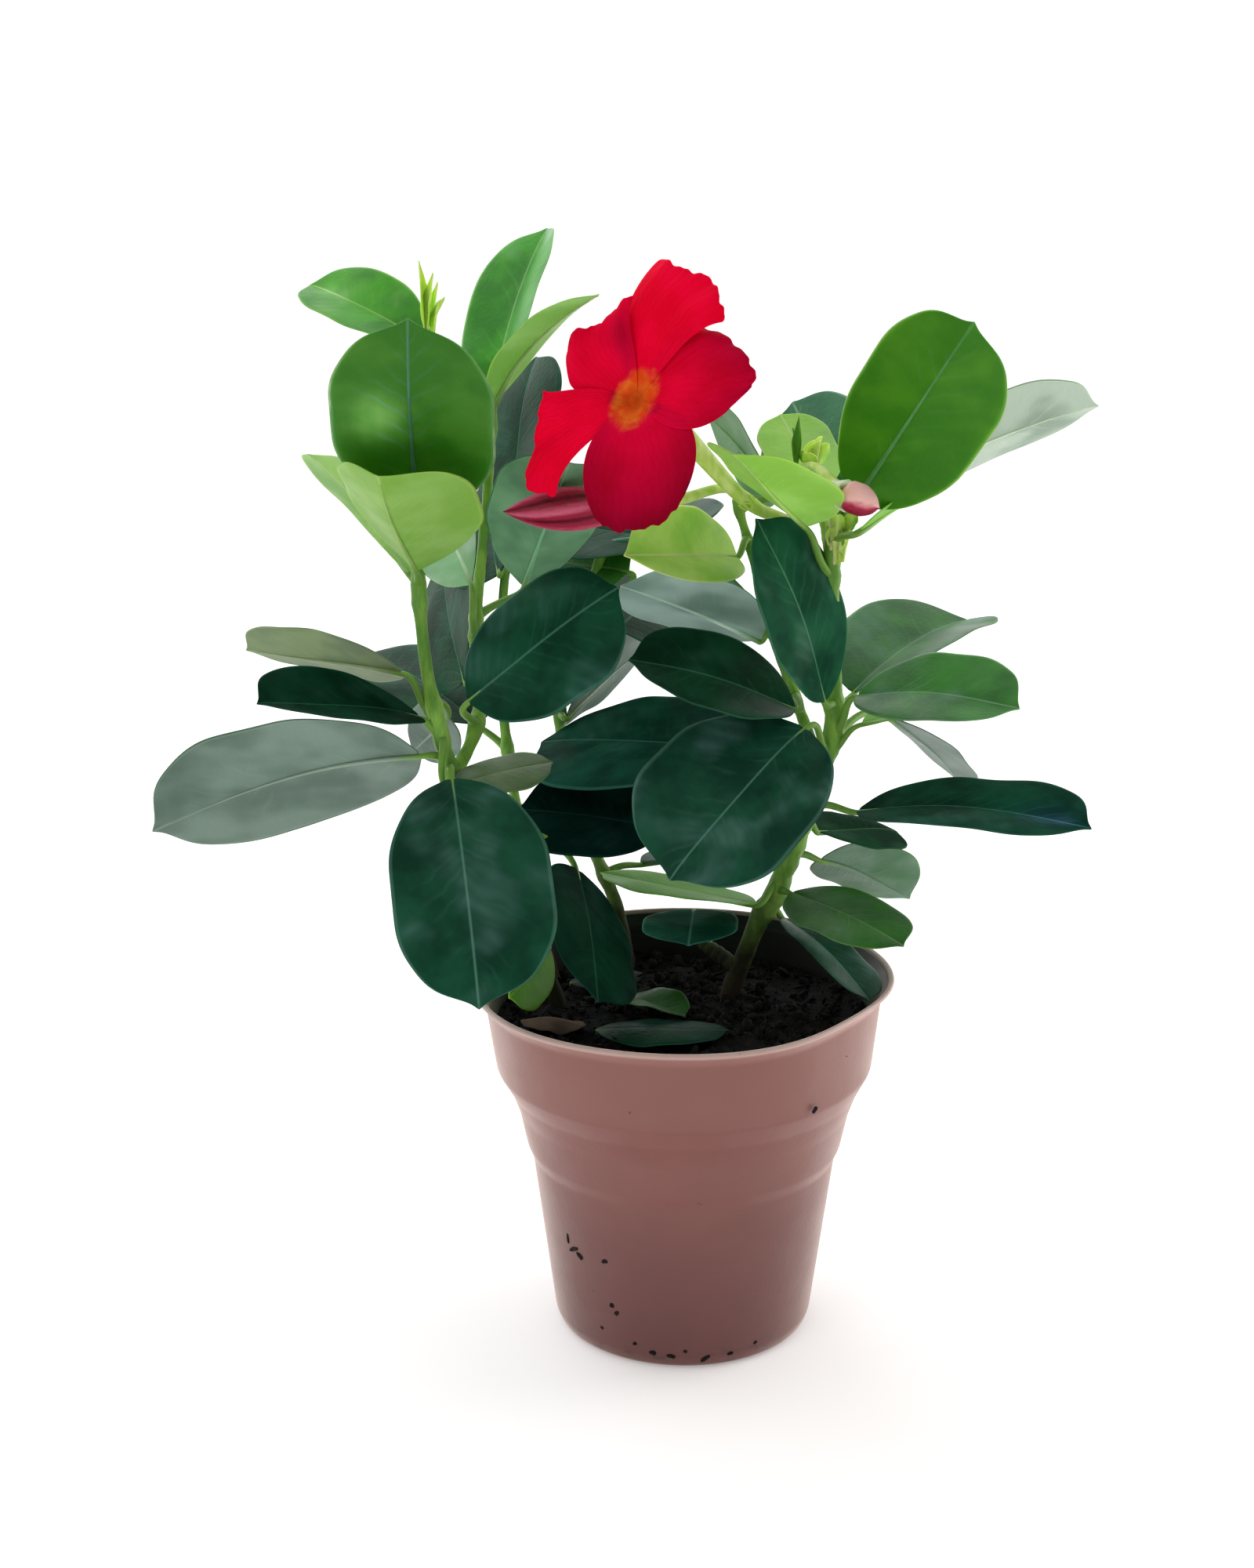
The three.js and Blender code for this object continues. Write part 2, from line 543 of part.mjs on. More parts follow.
const LOBE_COLUMNS = [0, 0.25, 0.5, 0.75, 1];
const LOBE_ROOT = 7.2;
const LOBE_SWELL = 2.4; // how far a lobe's middle stands out of the limb's plane
const LOBE_SINK = 1.2; // how deep its root stands in the throat's ring
const LOBE_OVERLAP = 1.5; // how far one edge passes over the next lobe

// A smooth run through three values, at shares 0, 0.5 and 1.
function through(first, second, third, share) {
  const atFirst = (1 - share) * (1 - 2 * share);
  const atSecond = 4 * share * (1 - share);
  const atThird = share * (2 * share - 1);
  return first * atFirst + second * atSecond + third * atThird;
}

function lobeSolid({ root, lean, middle, edge }) {
  const { right, above, out } = flowerAxes();
  const surfaceAt = (share, v) => {
    const column = v * (edge.length - 1);
    const angle = through(mix(root[0], root[1], v), middle[column][0], edge[column][0], share);
    const reach = through(LOBE_ROOT, middle[column][1], edge[column][1], share);
    const swell = LOBE_SWELL * Math.sin(share * Math.PI * 0.6) + lean * share ** 2;
    const rise = swell - LOBE_SINK + LOBE_OVERLAP * (0.5 - v) * (0.4 + share);
    const point = vector(THROAT);
    point.addScaledVector(right, reach * Math.cos(radians(angle)));
    point.addScaledVector(above, reach * Math.sin(radians(angle)));
    point.addScaledVector(out, rise);
    return { point, normal: out, thickness: PETAL };
  };
  return sheet(LOBE_ROWS, LOBE_COLUMNS, surfaceAt);
}

// Turns a profile of [radius, place along the axis] points about a line.
function turnedAlong(profile, origin, axis, sides) {
  const geometry = new THREE.LatheGeometry(profile.map(([r, w]) => new THREE.Vector2(r, w)), sides);
  geometry.applyQuaternion(new THREE.Quaternion().setFromUnitVectors(new THREE.Vector3(0, 1, 0), axis));
  geometry.translate(origin.x, origin.y, origin.z);
  return solidOf(geometry);
}

const STALKS = {
  flower: {
    points: [[38, 14, 217], [31, 14, 229], [17, 8, 237], [3, 2, 252], [-6, -8, 263]],
    foot: 1.5,
    tip: 3.7,
  },
  furled: { points: [[25, 12, 231], [13, 13, 240], [-2, -2, 240], [-15, -13, 240]], foot: 1.2, tip: 2 },
  bud: { points: [[32, 13, 247], [35, 3, 248], [40, -7, 245]], foot: 1, tip: 1.8 },
};

function buildFlowers() {
  const { out } = flowerAxes();
  const throat = vector(THROAT);
  const ring = turnedAlong([...RING_PROFILE, RING_PROFILE[0]], throat, out, 16);
  const corolla = joined([ring, ...LOBES.map(lobeSolid)]);
  addPiece("corolla", corolla, CRIMSON);

  const rods = {};
  for (const [name, { points, foot, tip }] of Object.entries(STALKS)) {
    const curve = new THREE.CatmullRomCurve3(points.map(vector));
    rods[name] = rod(curve, (share) => mix(foot, tip, share ** 2), STEM_SIDES, STALK_STEPS);
  }
  const rightVine = RIGHT_VINE.map((name) => stemSolid(STEMS[name], GAP));
  const funnelProfile = [[0, -26], [3.4, -24], [5.2, -TUBE_END], [4.3, -TUBE_END], [0, -21]];
  const funnel = turnedAlong(funnelProfile, throat, out, ROUND_SIDES);
  addPiece("flower_stalk", cutClear(joined([rods.flower, rods.furled, funnel]), rightVine), PALE_GREEN);
  addPiece("bud_stalk", cutClear(rods.bud, rightVine), PALE_GREEN);

  const furledFoot = vector([-16.1, -13.8, 240]);
  const furledAxis = new THREE.Vector3(-32, -5, -0.5).normalize();
  const furled = [[0, 0], [2.4, 0.2], [4.6, 7], [5.6, 15], [4.6, 23], [2.4, 29], [0, 33]];
  addPiece("furled_flower", turnedAlong(furled, furledFoot, furledAxis, ROUND_SIDES), WINE);

  const budFoot = vector([41, -7.9, 244.7]);
  const budAxis = new THREE.Vector3(9, -5, -2.6).normalize();
  const bud = [[0, 0], [2.4, 0.2], [4.6, 4], [4.4, 7.4], [0, 11]];
  addPiece("bud", turnedAlong(bud, budFoot, budAxis, ROUND_SIDES), PINK);
}

// ---- Litter on the soil --------------------------------------------------------------------------------

// Fallen leaves: name, middle of the blade on the soil, height over it, turn, size, bend, fold and colour.
const LITTER = [
  ["fallen_leaf", [-25, -20], 3.9, [0, 0, 4], [37, 24], 8, -3, MATURE],
  ["dead_leaf_brown", [-46, -11], 3.1, [-12, 0, 8], [19, 14], 24, -14, BROWN],
  ["dead_leaf_grey", [-33, 19], 2, [22, 0, 0], [23, 13], 12, -6, GREY],
  ["withered_leaf", [-18, 7], 1.2, [-40, 2, 0], [24, 16], 30, 16, FRESH],
];

function buildLitter() {
  for (const [name, [x, y], over, turn, size, bend, fold, material] of LITTER) {
    const base = new THREE.Vector3(x, y, soilHeight(x, y) + over);
    addPiece(name, ribbon(bladeSections(base, turn, size, bend, fold)), material);
  }
}

// ---- The whole -----------------------------------------------------------------------------------------

addPiece("pot", buildPot(), POT_PLASTIC);
const stemHoles = ["left", "right", "middle", "back"].map((name) => stemSolid(STEMS[name], GAP));
addPiece("soil", buildSoil(stemHoles), PEAT);
buildStems();
buildLeaves();
buildFlowers();
buildLitter();

export default plant;
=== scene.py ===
"""A young mandevilla in its nursery pot: a twining shrub with glossy leaves, one open red flower, one furled
flower and one bud.

Sizes and places are millimetres and degrees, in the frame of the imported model, with +Z up and the pot's base at
zero. They turn to metres where a mesh is written.
"""

import json
import logging
import math
from collections.abc import Callable, Iterator, Sequence
from contextlib import contextmanager
from dataclasses import dataclass, field
from enum import Enum

import bpy
import numpy as np
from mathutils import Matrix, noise


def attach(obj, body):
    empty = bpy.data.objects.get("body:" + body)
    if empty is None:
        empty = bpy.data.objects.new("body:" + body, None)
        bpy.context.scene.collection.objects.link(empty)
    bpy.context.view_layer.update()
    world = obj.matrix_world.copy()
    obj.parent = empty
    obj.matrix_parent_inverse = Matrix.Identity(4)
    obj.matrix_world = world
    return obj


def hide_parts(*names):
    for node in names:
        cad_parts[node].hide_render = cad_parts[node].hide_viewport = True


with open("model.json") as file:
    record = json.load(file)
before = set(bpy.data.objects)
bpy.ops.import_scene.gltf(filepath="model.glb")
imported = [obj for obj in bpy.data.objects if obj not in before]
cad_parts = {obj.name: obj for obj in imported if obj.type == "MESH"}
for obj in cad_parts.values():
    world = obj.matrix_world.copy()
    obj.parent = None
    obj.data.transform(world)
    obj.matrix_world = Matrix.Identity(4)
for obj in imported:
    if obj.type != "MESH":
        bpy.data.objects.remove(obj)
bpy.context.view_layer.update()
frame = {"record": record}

MM = 0.001
BODY = "root"
MERGE = 0.02
VEIN_PAIRS = 11.0
VEIN_SWEEP = 2.6
VEIN_BOW = 0.75

Point = tuple[float, float, float]
Pair = tuple[float, float]
Colour = tuple[float, float, float, float]

log = logging.getLogger("mandevilla")


# ---- Colour and nodes ---------------------------------------------------------------------------------------------


def linear(shade: str) -> Colour:
    """Turn an sRGB hex value into Blender's linear colour.

    Args:
        shade: Six hex digits, such as "3f7d24".

    Returns:
        Linear red, green and blue, with full alpha.
    """
    parts = [int(shade[i:i + 2], 16) / 255 for i in (0, 2, 4)]
    red, green, blue = (c / 12.92 if c <= 0.04045 else ((c + 0.055) / 1.055) ** 2.4 for c in parts)
    return red, green, blue, 1.0


def per_metre(size: float) -> float:
    """Pattern scale whose features are this many millimetres apart."""
    return 1000 / size


def add_node(tree: bpy.types.NodeTree, kind: str, inputs: dict | None = None, **settings: object) -> bpy.types.Node:
    """Add a node with its settings and links.

    Args:
        tree: The node tree that the node goes into.
        kind: Blender's identifier of the node.
        inputs: Socket name or number to a value, a socket, or a node whose first output is used.
        settings: The node's own properties.

    Returns:
        The new node.
    """
    node = tree.nodes.new(kind)
    for name, value in settings.items():
        setattr(node, name, value)
    for key, value in (inputs or {}).items():
        if isinstance(value, bpy.types.Node):
            value = value.outputs[0]
        if isinstance(value, bpy.types.NodeSocket):
            tree.links.new(value, node.inputs[key])
        else:
            node.inputs[key].default_value = value
    return node


class MixSocket:
    """Numbers of the colour sockets of a Mix node."""

    FACTOR = 0
    A = 6
    B = 7
    RESULT = 2


class Surface:
    """A material in the making: one principled shader and the patterns that feed it."""

    def __init__(self, name: str, roughness: float, ior: float = 1.45, **shader: object) -> None:
        """Start a material.

        Args:
            name: The material's name.
            roughness: The shader's roughness.
            ior: The shader's index of refraction.
            shader: Further socket values of the principled shader, with _ for a space.
        """
        self.material = bpy.data.materials.new(name)
        self.material.use_nodes = True
        self.tree = self.material.node_tree
        self.tree.nodes.clear()
        values = {"Roughness": roughness, "IOR": ior}
        values.update({key.replace("_", " "): value for key, value in shader.items()})
        self.shader = add_node(self.tree, "ShaderNodeBsdfPrincipled", values)
        add_node(self.tree, "ShaderNodeOutputMaterial", {"Surface": self.shader})

    def add(self, kind: str, inputs: dict | None = None, **settings: object) -> bpy.types.Node:
        """Add a node to this material; the arguments are those of add_node."""
        return add_node(self.tree, kind, inputs, **settings)

    def speckle(self, size: float, detail: float = 3.0, stretch: Point = (1, 1, 1)) -> bpy.types.NodeSocket:
        """Noise in the piece's own space.

        Args:
            size: Distance between its features, in millimetres.
            detail: Octaves of finer noise.
            stretch: How much finer it is along each axis.

        Returns:
            The socket of the noise, from 0 to 1.
        """
        place = self.add("ShaderNodeTexCoord").outputs["Object"]
        turned = self.add("ShaderNodeMapping", {"Vector": place, "Scale": stretch})
        settings = {"Vector": turned, "Scale": per_metre(size), "Detail": detail, "Roughness": 0.55}
        return self.add("ShaderNodeTexNoise", settings).outputs[0]

    def step(self, value: object, low: float, high: float, first: float = 0.0, last: float = 1.0) -> bpy.types.Node:
        """Map value from low..high to first..last with a smooth step."""
        ends = {"Value": value, "From Min": low, "From Max": high, "To Min": first, "To Max": last}
        return self.add("ShaderNodeMapRange", ends, interpolation_type="SMOOTHSTEP")

    def maths(self, operation: str, *values: object) -> bpy.types.Node:
        """Add a Math node with its values in order."""
        return self.add("ShaderNodeMath", dict(enumerate(values)), operation=operation)

    def blend(self, share: object, first: object, second: object, mode: str = "MIX") -> bpy.types.NodeSocket:
        """Mix two colours by share, and return the socket of the result."""
        ends = {MixSocket.FACTOR: share, MixSocket.A: first, MixSocket.B: second}
        return self.add("ShaderNodeMix", ends, data_type="RGBA", blend_type=mode).outputs[MixSocket.RESULT]

    def attribute(self, name: str) -> tuple[bpy.types.NodeSocket, ...]:
        """The three sockets of a vector that the mesh carries."""
        carried = self.add("ShaderNodeAttribute", attribute_name=name).outputs["Vector"]
        return tuple(self.add("ShaderNodeSeparateXYZ", {0: carried}).outputs)

    def tinted(self, colour: bpy.types.NodeSocket) -> bpy.types.NodeSocket:
        """Multiply a colour by the tint that the mesh carries, which holds painted light and shade as well as colour.
        """
        tint = self.add("ShaderNodeAttribute", attribute_name="tint").outputs["Vector"]
        return self.blend(1.0, colour, tint, "MULTIPLY")

    def colour(self, value: object) -> None:
        """Give the shader its base colour."""
        self.tree.links.new(value, self.shader.inputs["Base Color"])

    def rough(self, value: bpy.types.Node) -> None:
        """Give the shader a varied roughness."""
        self.tree.links.new(value.outputs[0], self.shader.inputs["Roughness"])

    def relief(self, height: object, depth: float) -> None:
        """Raise the surface by a height pattern of this depth in millimetres."""
        raised = self.add("ShaderNodeBump", {"Height": height, "Distance": depth * MM})
        self.tree.links.new(raised.outputs[0], self.shader.inputs["Normal"])


# ---- Finishes -----------------------------------------------------------------------------------------------------


@dataclass(frozen=True)
class LeafFinish:
    """A living leaf: a smooth waxen cuticle over green tissue, with a sunk pale midrib and feathered side veins.

    The cuticle gives broad soft highlights. Pale bluish patches over the swells between the veins are painted sheen,
    and the paler thin margin is painted light through the leaf's edge. The lower face is duller and paler, and its
    midrib stands out.
    """

    name: str
    deep: str
    light: str
    under: str
    vein: str
    painted_sheen: float = 0.2
    roughness: float = 0.34
    patch: float = 16.0
    under_patch: str = ""
    painted_sheen_colour: str = "8fa39b"
    shine: float = 0.25
    glow: float = 0.0
    stalk: str = "7fa848"

    def veins(self, surface: Surface) -> tuple[bpy.types.Node, ...]:
        """Lay out the veins on the blade's own measures.

        Args:
            surface: The material that the pattern goes into.

        Returns:
            Where the side veins, the midrib, the thin margin and the feathered swells between the veins are.
        """
        along, sideways, across = surface.attribute("leaf")
        beside = surface.maths("ABSOLUTE", sideways)
        bow = surface.maths("POWER", beside, VEIN_BOW)
        swept = surface.maths("MULTIPLY_ADD", bow, -VEIN_SWEEP, surface.maths("MULTIPLY", along, VEIN_PAIRS))
        waver = surface.maths("MULTIPLY_ADD", surface.speckle(9, 1), 0.9, swept)
        nearest = surface.maths("PINGPONG", waver, 0.5)
        line = surface.step(nearest, 0.0, 0.2, 1.0, 0.0)
        fade = surface.step(beside, 0.05, 0.9, 1.0, 0.0)
        strong = surface.step(surface.speckle(12, 1), 0.35, 0.65)
        side = surface.maths("MULTIPLY", surface.maths("MULTIPLY", line, fade), strong)
        midrib = surface.step(surface.maths("ABSOLUTE", across), 0.1, 0.55, 1.0, 0.0)
        # The thin margin is painted paler: painted light through the leaf's edge.
        margin = surface.step(beside, 0.955, 1.0)
        swell = surface.step(nearest, 0.05, 0.5, 0.6, 1.0)
        return side, midrib, margin, swell

    def blade_surface(self, name: str, roughness: float) -> Surface:
        """Start a blade's material, with some light scattered through the tissue of a young leaf."""
        surface = Surface(name, roughness, 1.42, Specular_IOR_Level=self.shine)
        if self.glow:
            shader = surface.shader.inputs
            shader["Subsurface Weight"].default_value = self.glow
            shader["Subsurface Radius"].default_value = (0.9, 1.2, 0.3)
            shader["Subsurface Scale"].default_value = 1.5 * MM
        return surface

    def upper(self) -> bpy.types.Material:
        """The glossy upper face."""
        surface = self.blade_surface(f"{self.name}_upper_face", self.roughness)
        veins, midrib, margin, swell = self.veins(surface)
        mottle = surface.step(surface.speckle(self.patch), 0.3, 0.7)
        tissue = surface.blend(mottle, linear(self.deep), linear(self.light))
        # Painted sheen: pale bluish patches over the swells between the veins.
        painted_sheen_patches = surface.step(surface.speckle(20, 2), 0.48, 0.7, 0.0, self.painted_sheen)
        sheen_painted_tissue = surface.blend(surface.maths("MULTIPLY", painted_sheen_patches, swell), tissue, linear(self.painted_sheen_colour))
        self.finish(surface, sheen_painted_tissue, (veins, 0.07), (midrib, 0.4), (margin, 0.22))
        surface.rough(surface.step(surface.speckle(22, 2), 0.3, 0.7, self.roughness - 0.05, self.roughness + 0.12))
        height = surface.maths("MULTIPLY_ADD", veins, -0.4, surface.speckle(1.3, 2))
        surface.relief(surface.maths("MULTIPLY_ADD", midrib, -1.0, height), 0.12)
        return surface.material

    def finish(self, surface: Surface, colour: bpy.types.NodeSocket, *marks: tuple[bpy.types.Node, float]) -> None:
        """Lay the veins and the margin over a colour, and give it this leaf's own tint.

        Args:
            surface: The material.
            colour: The tissue's colour.
            marks: Where a mark lies, and how strongly it covers the tissue.
        """
        for place, strength in marks:
            colour = surface.blend(surface.maths("MULTIPLY", place, strength), colour, linear(self.vein))
        surface.colour(surface.tinted(colour))

    def lower(self) -> bpy.types.Material:
        """The duller lower face, with raised veins."""
        surface = self.blade_surface(f"{self.name}_lower_face", self.roughness + 0.12)
        veins, midrib, margin, _ = self.veins(surface)
        mottle = surface.step(surface.speckle(self.patch, 2, (1, 1, 1.6)), 0.38, 0.68)
        tissue = surface.blend(mottle, linear(self.under), linear(self.under_patch or self.under))
        self.finish(surface, tissue, (veins, 0.1), (midrib, 0.4), (margin, 0.3))
        surface.relief(surface.maths("MULTIPLY_ADD", veins, 0.6, surface.speckle(1.4, 2)), 0.12)
        return surface.material

    def rib(self) -> bpy.types.Material:
        """The midrib's back and the leaf stalk: firm pale tissue, a little translucent and satin."""
        surface = Surface(f"{self.name}_rib", 0.42, 1.45, Specular_IOR_Level=0.3)
        streaks = surface.step(surface.speckle(7, 2), 0.3, 0.7, 0.3, 0.6)
        vein = surface.blend(streaks, linear(self.vein), linear(self.under))
        green = surface.blend(streaks, linear(self.stalk), linear(STEM.old))
        surface.colour(surface.blend(surface.attribute("leaf")[0], green, surface.tinted(vein)))
        surface.relief(surface.speckle(0.9, 2), 0.08)
        return surface.material


class LeafLook(Enum):
    """The leaf finishes, by age and by how much light comes through."""

    YOUNG = LeafFinish("leaf_young", "6ba32f", "86b845", "82b04a", "b4d27c", 0.1, 0.42, under_patch="94be62", glow=0.5)
    FRESH = LeafFinish("leaf_fresh", "29601f", "3f7d2c", "5f8a5c", "93b581", 0.2, 0.36, under_patch="7d9e7b", glow=0.25)
    MATURE = LeafFinish("leaf_mature", "0c2f20", "184630", "5d7a69", "64907a", 0.3, 0.32, under_patch="496657",
                        shine=0.06, painted_sheen_colour="5d7f76")
    DARK = LeafFinish("leaf_dark", "08211a", "103428", "3c5a4c", "3f6253", 0.25, 0.4, painted_sheen_colour="3f5b57", shine=0.005)
    BACKLIT = LeafFinish("leaf_backlit", "2a6e1a", "418226", "2e6e18", "5c9a8a", 0.6, 0.36, under_patch="3f7c24",
                         painted_sheen_colour="b5ccae", glow=0.4)
    SILVER = LeafFinish("leaf_silver", "1f5239", "3b6a4c", "82958a", "a9bba8", 0.2, 0.36, under_patch="5f7468",
                        patch=24)
    STRAW = LeafFinish("leaf_straw", "5c7a3c", "7f9a58", "8b9a6e", "bcc3a0", 0.2, 0.38, under_patch="748660")
    OLIVE = LeafFinish("leaf_olive", "536a4c", "728763", "87977d", "a3b190", 0.2, 0.36, under_patch="6f8265")
    TIP = LeafFinish("leaf_tip", "9acd2c", "c6ea58", "c0e665", "e2f3ac", 0.0, 0.42, glow=0.6, under_patch="9fd23a",
                     stalk="b9e04c")
    BROWN = LeafFinish("leaf_dead_brown", "4a382f", "6d574a", "5c483c", "7d6858", 0.0, 0.75, under_patch="3a2c25")
    GREY = LeafFinish("leaf_dead_grey", "23282a", "3c4342", "2c3130", "50585a", 0.1, 0.6, under_patch="3a3f3e")


YOUNG, FRESH, MATURE, DARK, BACKLIT, SILVER, STRAW, OLIVE, TIP, BROWN, GREY = LeafLook


@dataclass(frozen=True)
class PlasticFinish:
    """Thin moulded polypropylene, satin and faintly translucent. Its lip is painted paler: painted light through it.

    The inner wall is painted near black, as painted shade inside the pot, and peat dust smears the foot of the outer
    wall. The shoulder ledges are painted a deeper red, as painted shade that offsets the pale sheen that they catch.
    """

    upper: str = "8d574f"
    lower: str = "663532"
    lip: str = "d0b6ad"
    inner: str = "15110f"
    ledge: str = "70201a"
    dust: str = "2a201c"

    def material(self) -> bpy.types.Material:
        """Build the plastic."""
        surface = Surface("moulded_polypropylene", 0.42, 1.49, Sheen_Weight=1.0, Sheen_Roughness=0.34,
                          Sheen_Tint=linear("ffe9e0"))
        inside, height, slope = surface.attribute("wall")
        rise = surface.step(height, 8, 92)
        cloud = surface.maths("MULTIPLY_ADD", surface.step(surface.speckle(30, 2), 0.35, 0.7), 0.16, rise)
        body = surface.blend(cloud, linear(self.lower), linear(self.upper))
        # Painted shade: the sloping shoulder ledges are a deeper red, which offsets their pale sheen.
        ledged = surface.blend(surface.step(slope, 0.16, 0.5, 0.0, 0.45), body, linear(self.ledge))
        # Painted light: the lip is paler near the top, as light through the thin plastic.
        lipped = surface.blend(surface.step(height, 101.6, 103.6, 0.0, 0.75), ledged, linear(self.lip))
        # Painted shade: the inner wall is near black.
        walled = surface.blend(inside, lipped, linear(self.inner))
        smear = surface.step(surface.speckle(7, 5, (1, 1, 2.4)), 0.52, 0.66)
        low = surface.step(height, 1.0, 9.0, 1.0, 0.0)
        specks = surface.step(surface.speckle(2.4, 3), 0.735, 0.76, 0.0, 0.8)
        dusty = surface.maths("MAXIMUM", surface.maths("MULTIPLY", smear, low), specks)
        surface.colour(surface.blend(surface.maths("MULTIPLY", dusty, 0.75), walled, linear(self.dust)))
        surface.rough(surface.step(surface.speckle(14, 2), 0.3, 0.7, 0.36, 0.5))
        surface.relief(surface.speckle(1.6, 3), 0.05)
        return surface.material


@dataclass(frozen=True)
class PeatFinish:
    """Moist sphagnum peat: near black, matt crumbs with a few browner fibres."""

    dark: str = "080707"
    brown: str = "241a15"

    def material(self) -> bpy.types.Material:
        """Build the peat."""
        surface = Surface("moist_peat", 0.92, 1.4)
        crumb = surface.step(surface.speckle(3.2, 5), 0.48, 0.74)
        surface.colour(surface.blend(crumb, linear(self.dark), linear(self.brown)))
        surface.relief(surface.speckle(1.2, 4), 0.8)
        return surface.material


@dataclass(frozen=True)
class StemFinish:
    """Smooth green bark: satin and pale green, browner and rougher with age towards the foot."""

    name: str
    young: str
    old: str
    bark: str
    bark_top: float

    def material(self) -> bpy.types.Material:
        """Build the stem's skin."""
        surface = Surface(self.name, 0.42, 1.45, Specular_IOR_Level=0.3)
        place = surface.add("ShaderNodeTexCoord").outputs["Object"]
        height = surface.add("ShaderNodeSeparateXYZ", {0: place}).outputs[2]
        streaks = surface.speckle(4, 3, (1, 1, 0.3))
        green = surface.blend(surface.step(streaks, 0.35, 0.65), linear(self.old), linear(self.young))
        uneven = surface.maths("MULTIPLY_ADD", surface.speckle(6, 3), 0.03, height)
        age = surface.step(uneven, (self.bark_top - 22) * MM, (self.bark_top + 18) * MM, 1.0, 0.0)
        surface.colour(surface.blend(age, green, linear(self.bark)))
        surface.rough(surface.step(age, 0.0, 1.0, 0.42, 0.75))
        surface.relief(surface.speckle(1.5, 3, (1, 1, 0.35)), 0.25)
        return surface.material


@dataclass(frozen=True)
class PetalFinish:
    """A mandevilla petal: velvety crimson with fine veins that run out from the throat, darker at the margin."""

    name: str = "petal_crimson"
    red: str = "e6002c"
    bright: str = "fb023a"
    margin: str = "a10024"
    back: str = "b3152f"
    deep: str = "f4641e"
    throat: str = "ea4e1a"
    glow: str = "f87e2a"
    foot: str = "d9c46a"

    def pattern(self, surface: Surface, first: str, second: str) -> tuple[bpy.types.NodeSocket, bpy.types.Node]:
        """Soft clouds between two colours, with fine veins over them.

        Args:
            surface: The material that the pattern goes into.
            first: The darker colour.
            second: The lighter colour.

        Returns:
            The colour, and where the veins are.
        """
        share, sideways, _ = surface.attribute("petal")
        cloud = surface.step(surface.speckle(14, 2), 0.3, 0.7)
        body = surface.blend(cloud, linear(first), linear(second))
        ribs = surface.maths("MULTIPLY_ADD", sideways, 14.0, surface.maths("MULTIPLY", surface.speckle(6, 2), 2.5))
        line = surface.step(surface.maths("PINGPONG", ribs, 0.5), 0.0, 0.3, 1.0, 0.0)
        veined = surface.blend(surface.maths("MULTIPLY", line, 0.07), body, linear(self.margin))
        far = surface.maths("MULTIPLY_ADD", surface.speckle(7, 3), 0.3, share)
        edged = surface.blend(surface.step(far, 1.0, 1.35, 0.0, 0.5), veined, linear(self.margin))
        return surface.tinted(edged), line

    def front(self) -> bpy.types.Material:
        """The petal's face, orange and yellow where it dips into the throat."""
        surface = Surface(f"{self.name}_face", 0.6, 1.35, Specular_IOR_Level=0.05, Subsurface_Weight=0.35,
                          Subsurface_Radius=(1.6, 0.3, 0.4), Subsurface_Scale=MM)
        red, line = self.pattern(surface, self.red, self.bright)
        reach = surface.attribute("petal")[2]
        uneven = surface.maths("MULTIPLY_ADD", surface.speckle(3, 3), -4.0, reach)
        glowing = surface.blend(surface.step(surface.speckle(4, 2), 0.4, 0.7), linear(self.throat), linear(self.glow))
        hollow = surface.blend(surface.step(reach, 1.6, 5.0), linear(self.deep), glowing)
        surface.colour(surface.blend(surface.step(uneven, 2.8, 5.6), hollow, red))
        surface.relief(surface.maths("MULTIPLY_ADD", line, -0.5, surface.speckle(1.6, 3)), 0.12)
        return surface.material

    def reverse(self) -> bpy.types.Material:
        """The petal's back, duller and pinker, and yellow at its foot."""
        surface = Surface(f"{self.name}_back", 0.6, 1.35, Specular_IOR_Level=0.12)
        red, _ = self.pattern(surface, self.back, self.red)
        reach = surface.attribute("petal")[2]
        surface.colour(surface.blend(surface.step(reach, 5, 10), linear(self.foot), red))
        surface.relief(surface.speckle(1.6, 3), 0.12)
        return surface.material


@dataclass(frozen=True)
class RolledFinish:
    """Petals rolled up tight: satin folds, with painted shade in the furrows and a painted highlight along the ridges.
    """

    name: str
    furrow_shade: str
    body: str
    ridge: str
    furrow_shade_to: float = 0.6
    ridge_highlight_from: float = 0.75
    ridge_highlight_to: float = 1.3

    def material(self) -> bpy.types.Material:
        """Build the rolled petals."""
        surface = Surface(self.name, 0.42, 1.42, Specular_IOR_Level=0.3)
        ridge = surface.attribute("roll")[0]
        crest = surface.maths("MULTIPLY_ADD", surface.speckle(4, 3, (1, 2.5, 2.5)), 0.5, ridge)
        # Painted shade in the furrows, and a painted highlight along the ridges.
        raised = surface.step(crest, self.furrow_shade_to - 0.45, self.furrow_shade_to)
        deep = surface.blend(raised, linear(self.furrow_shade), linear(self.body))
        pale = surface.step(crest, self.ridge_highlight_from, self.ridge_highlight_to, 0.0, 0.9)
        surface.colour(surface.blend(pale, deep, linear(self.ridge)))
        surface.relief(surface.speckle(1.1, 3, (1, 2.5, 2.5)), 0.25)
        return surface.material


PLASTIC = PlasticFinish()
PEAT = PeatFinish()
STEM = StemFinish("stem_skin", "8cbc4c", "64983a", "3b3828", 136)
STALK = StemFinish("flower_stalk_skin", "dcf092", "bede60", "bede60", -100)
PETAL = PetalFinish()
CALYX = StemFinish("calyx_skin", "eef3dc", "cfe2b0", "cfe2b0", -100)
ROLLED = RolledFinish("rolled_petal", "4e081e", "9c1438", "d4607e")
BUD = RolledFinish("bud_petal", "8e0c32", "c63e5a", "ffccc2", 0.75, 0.62, 0.95)


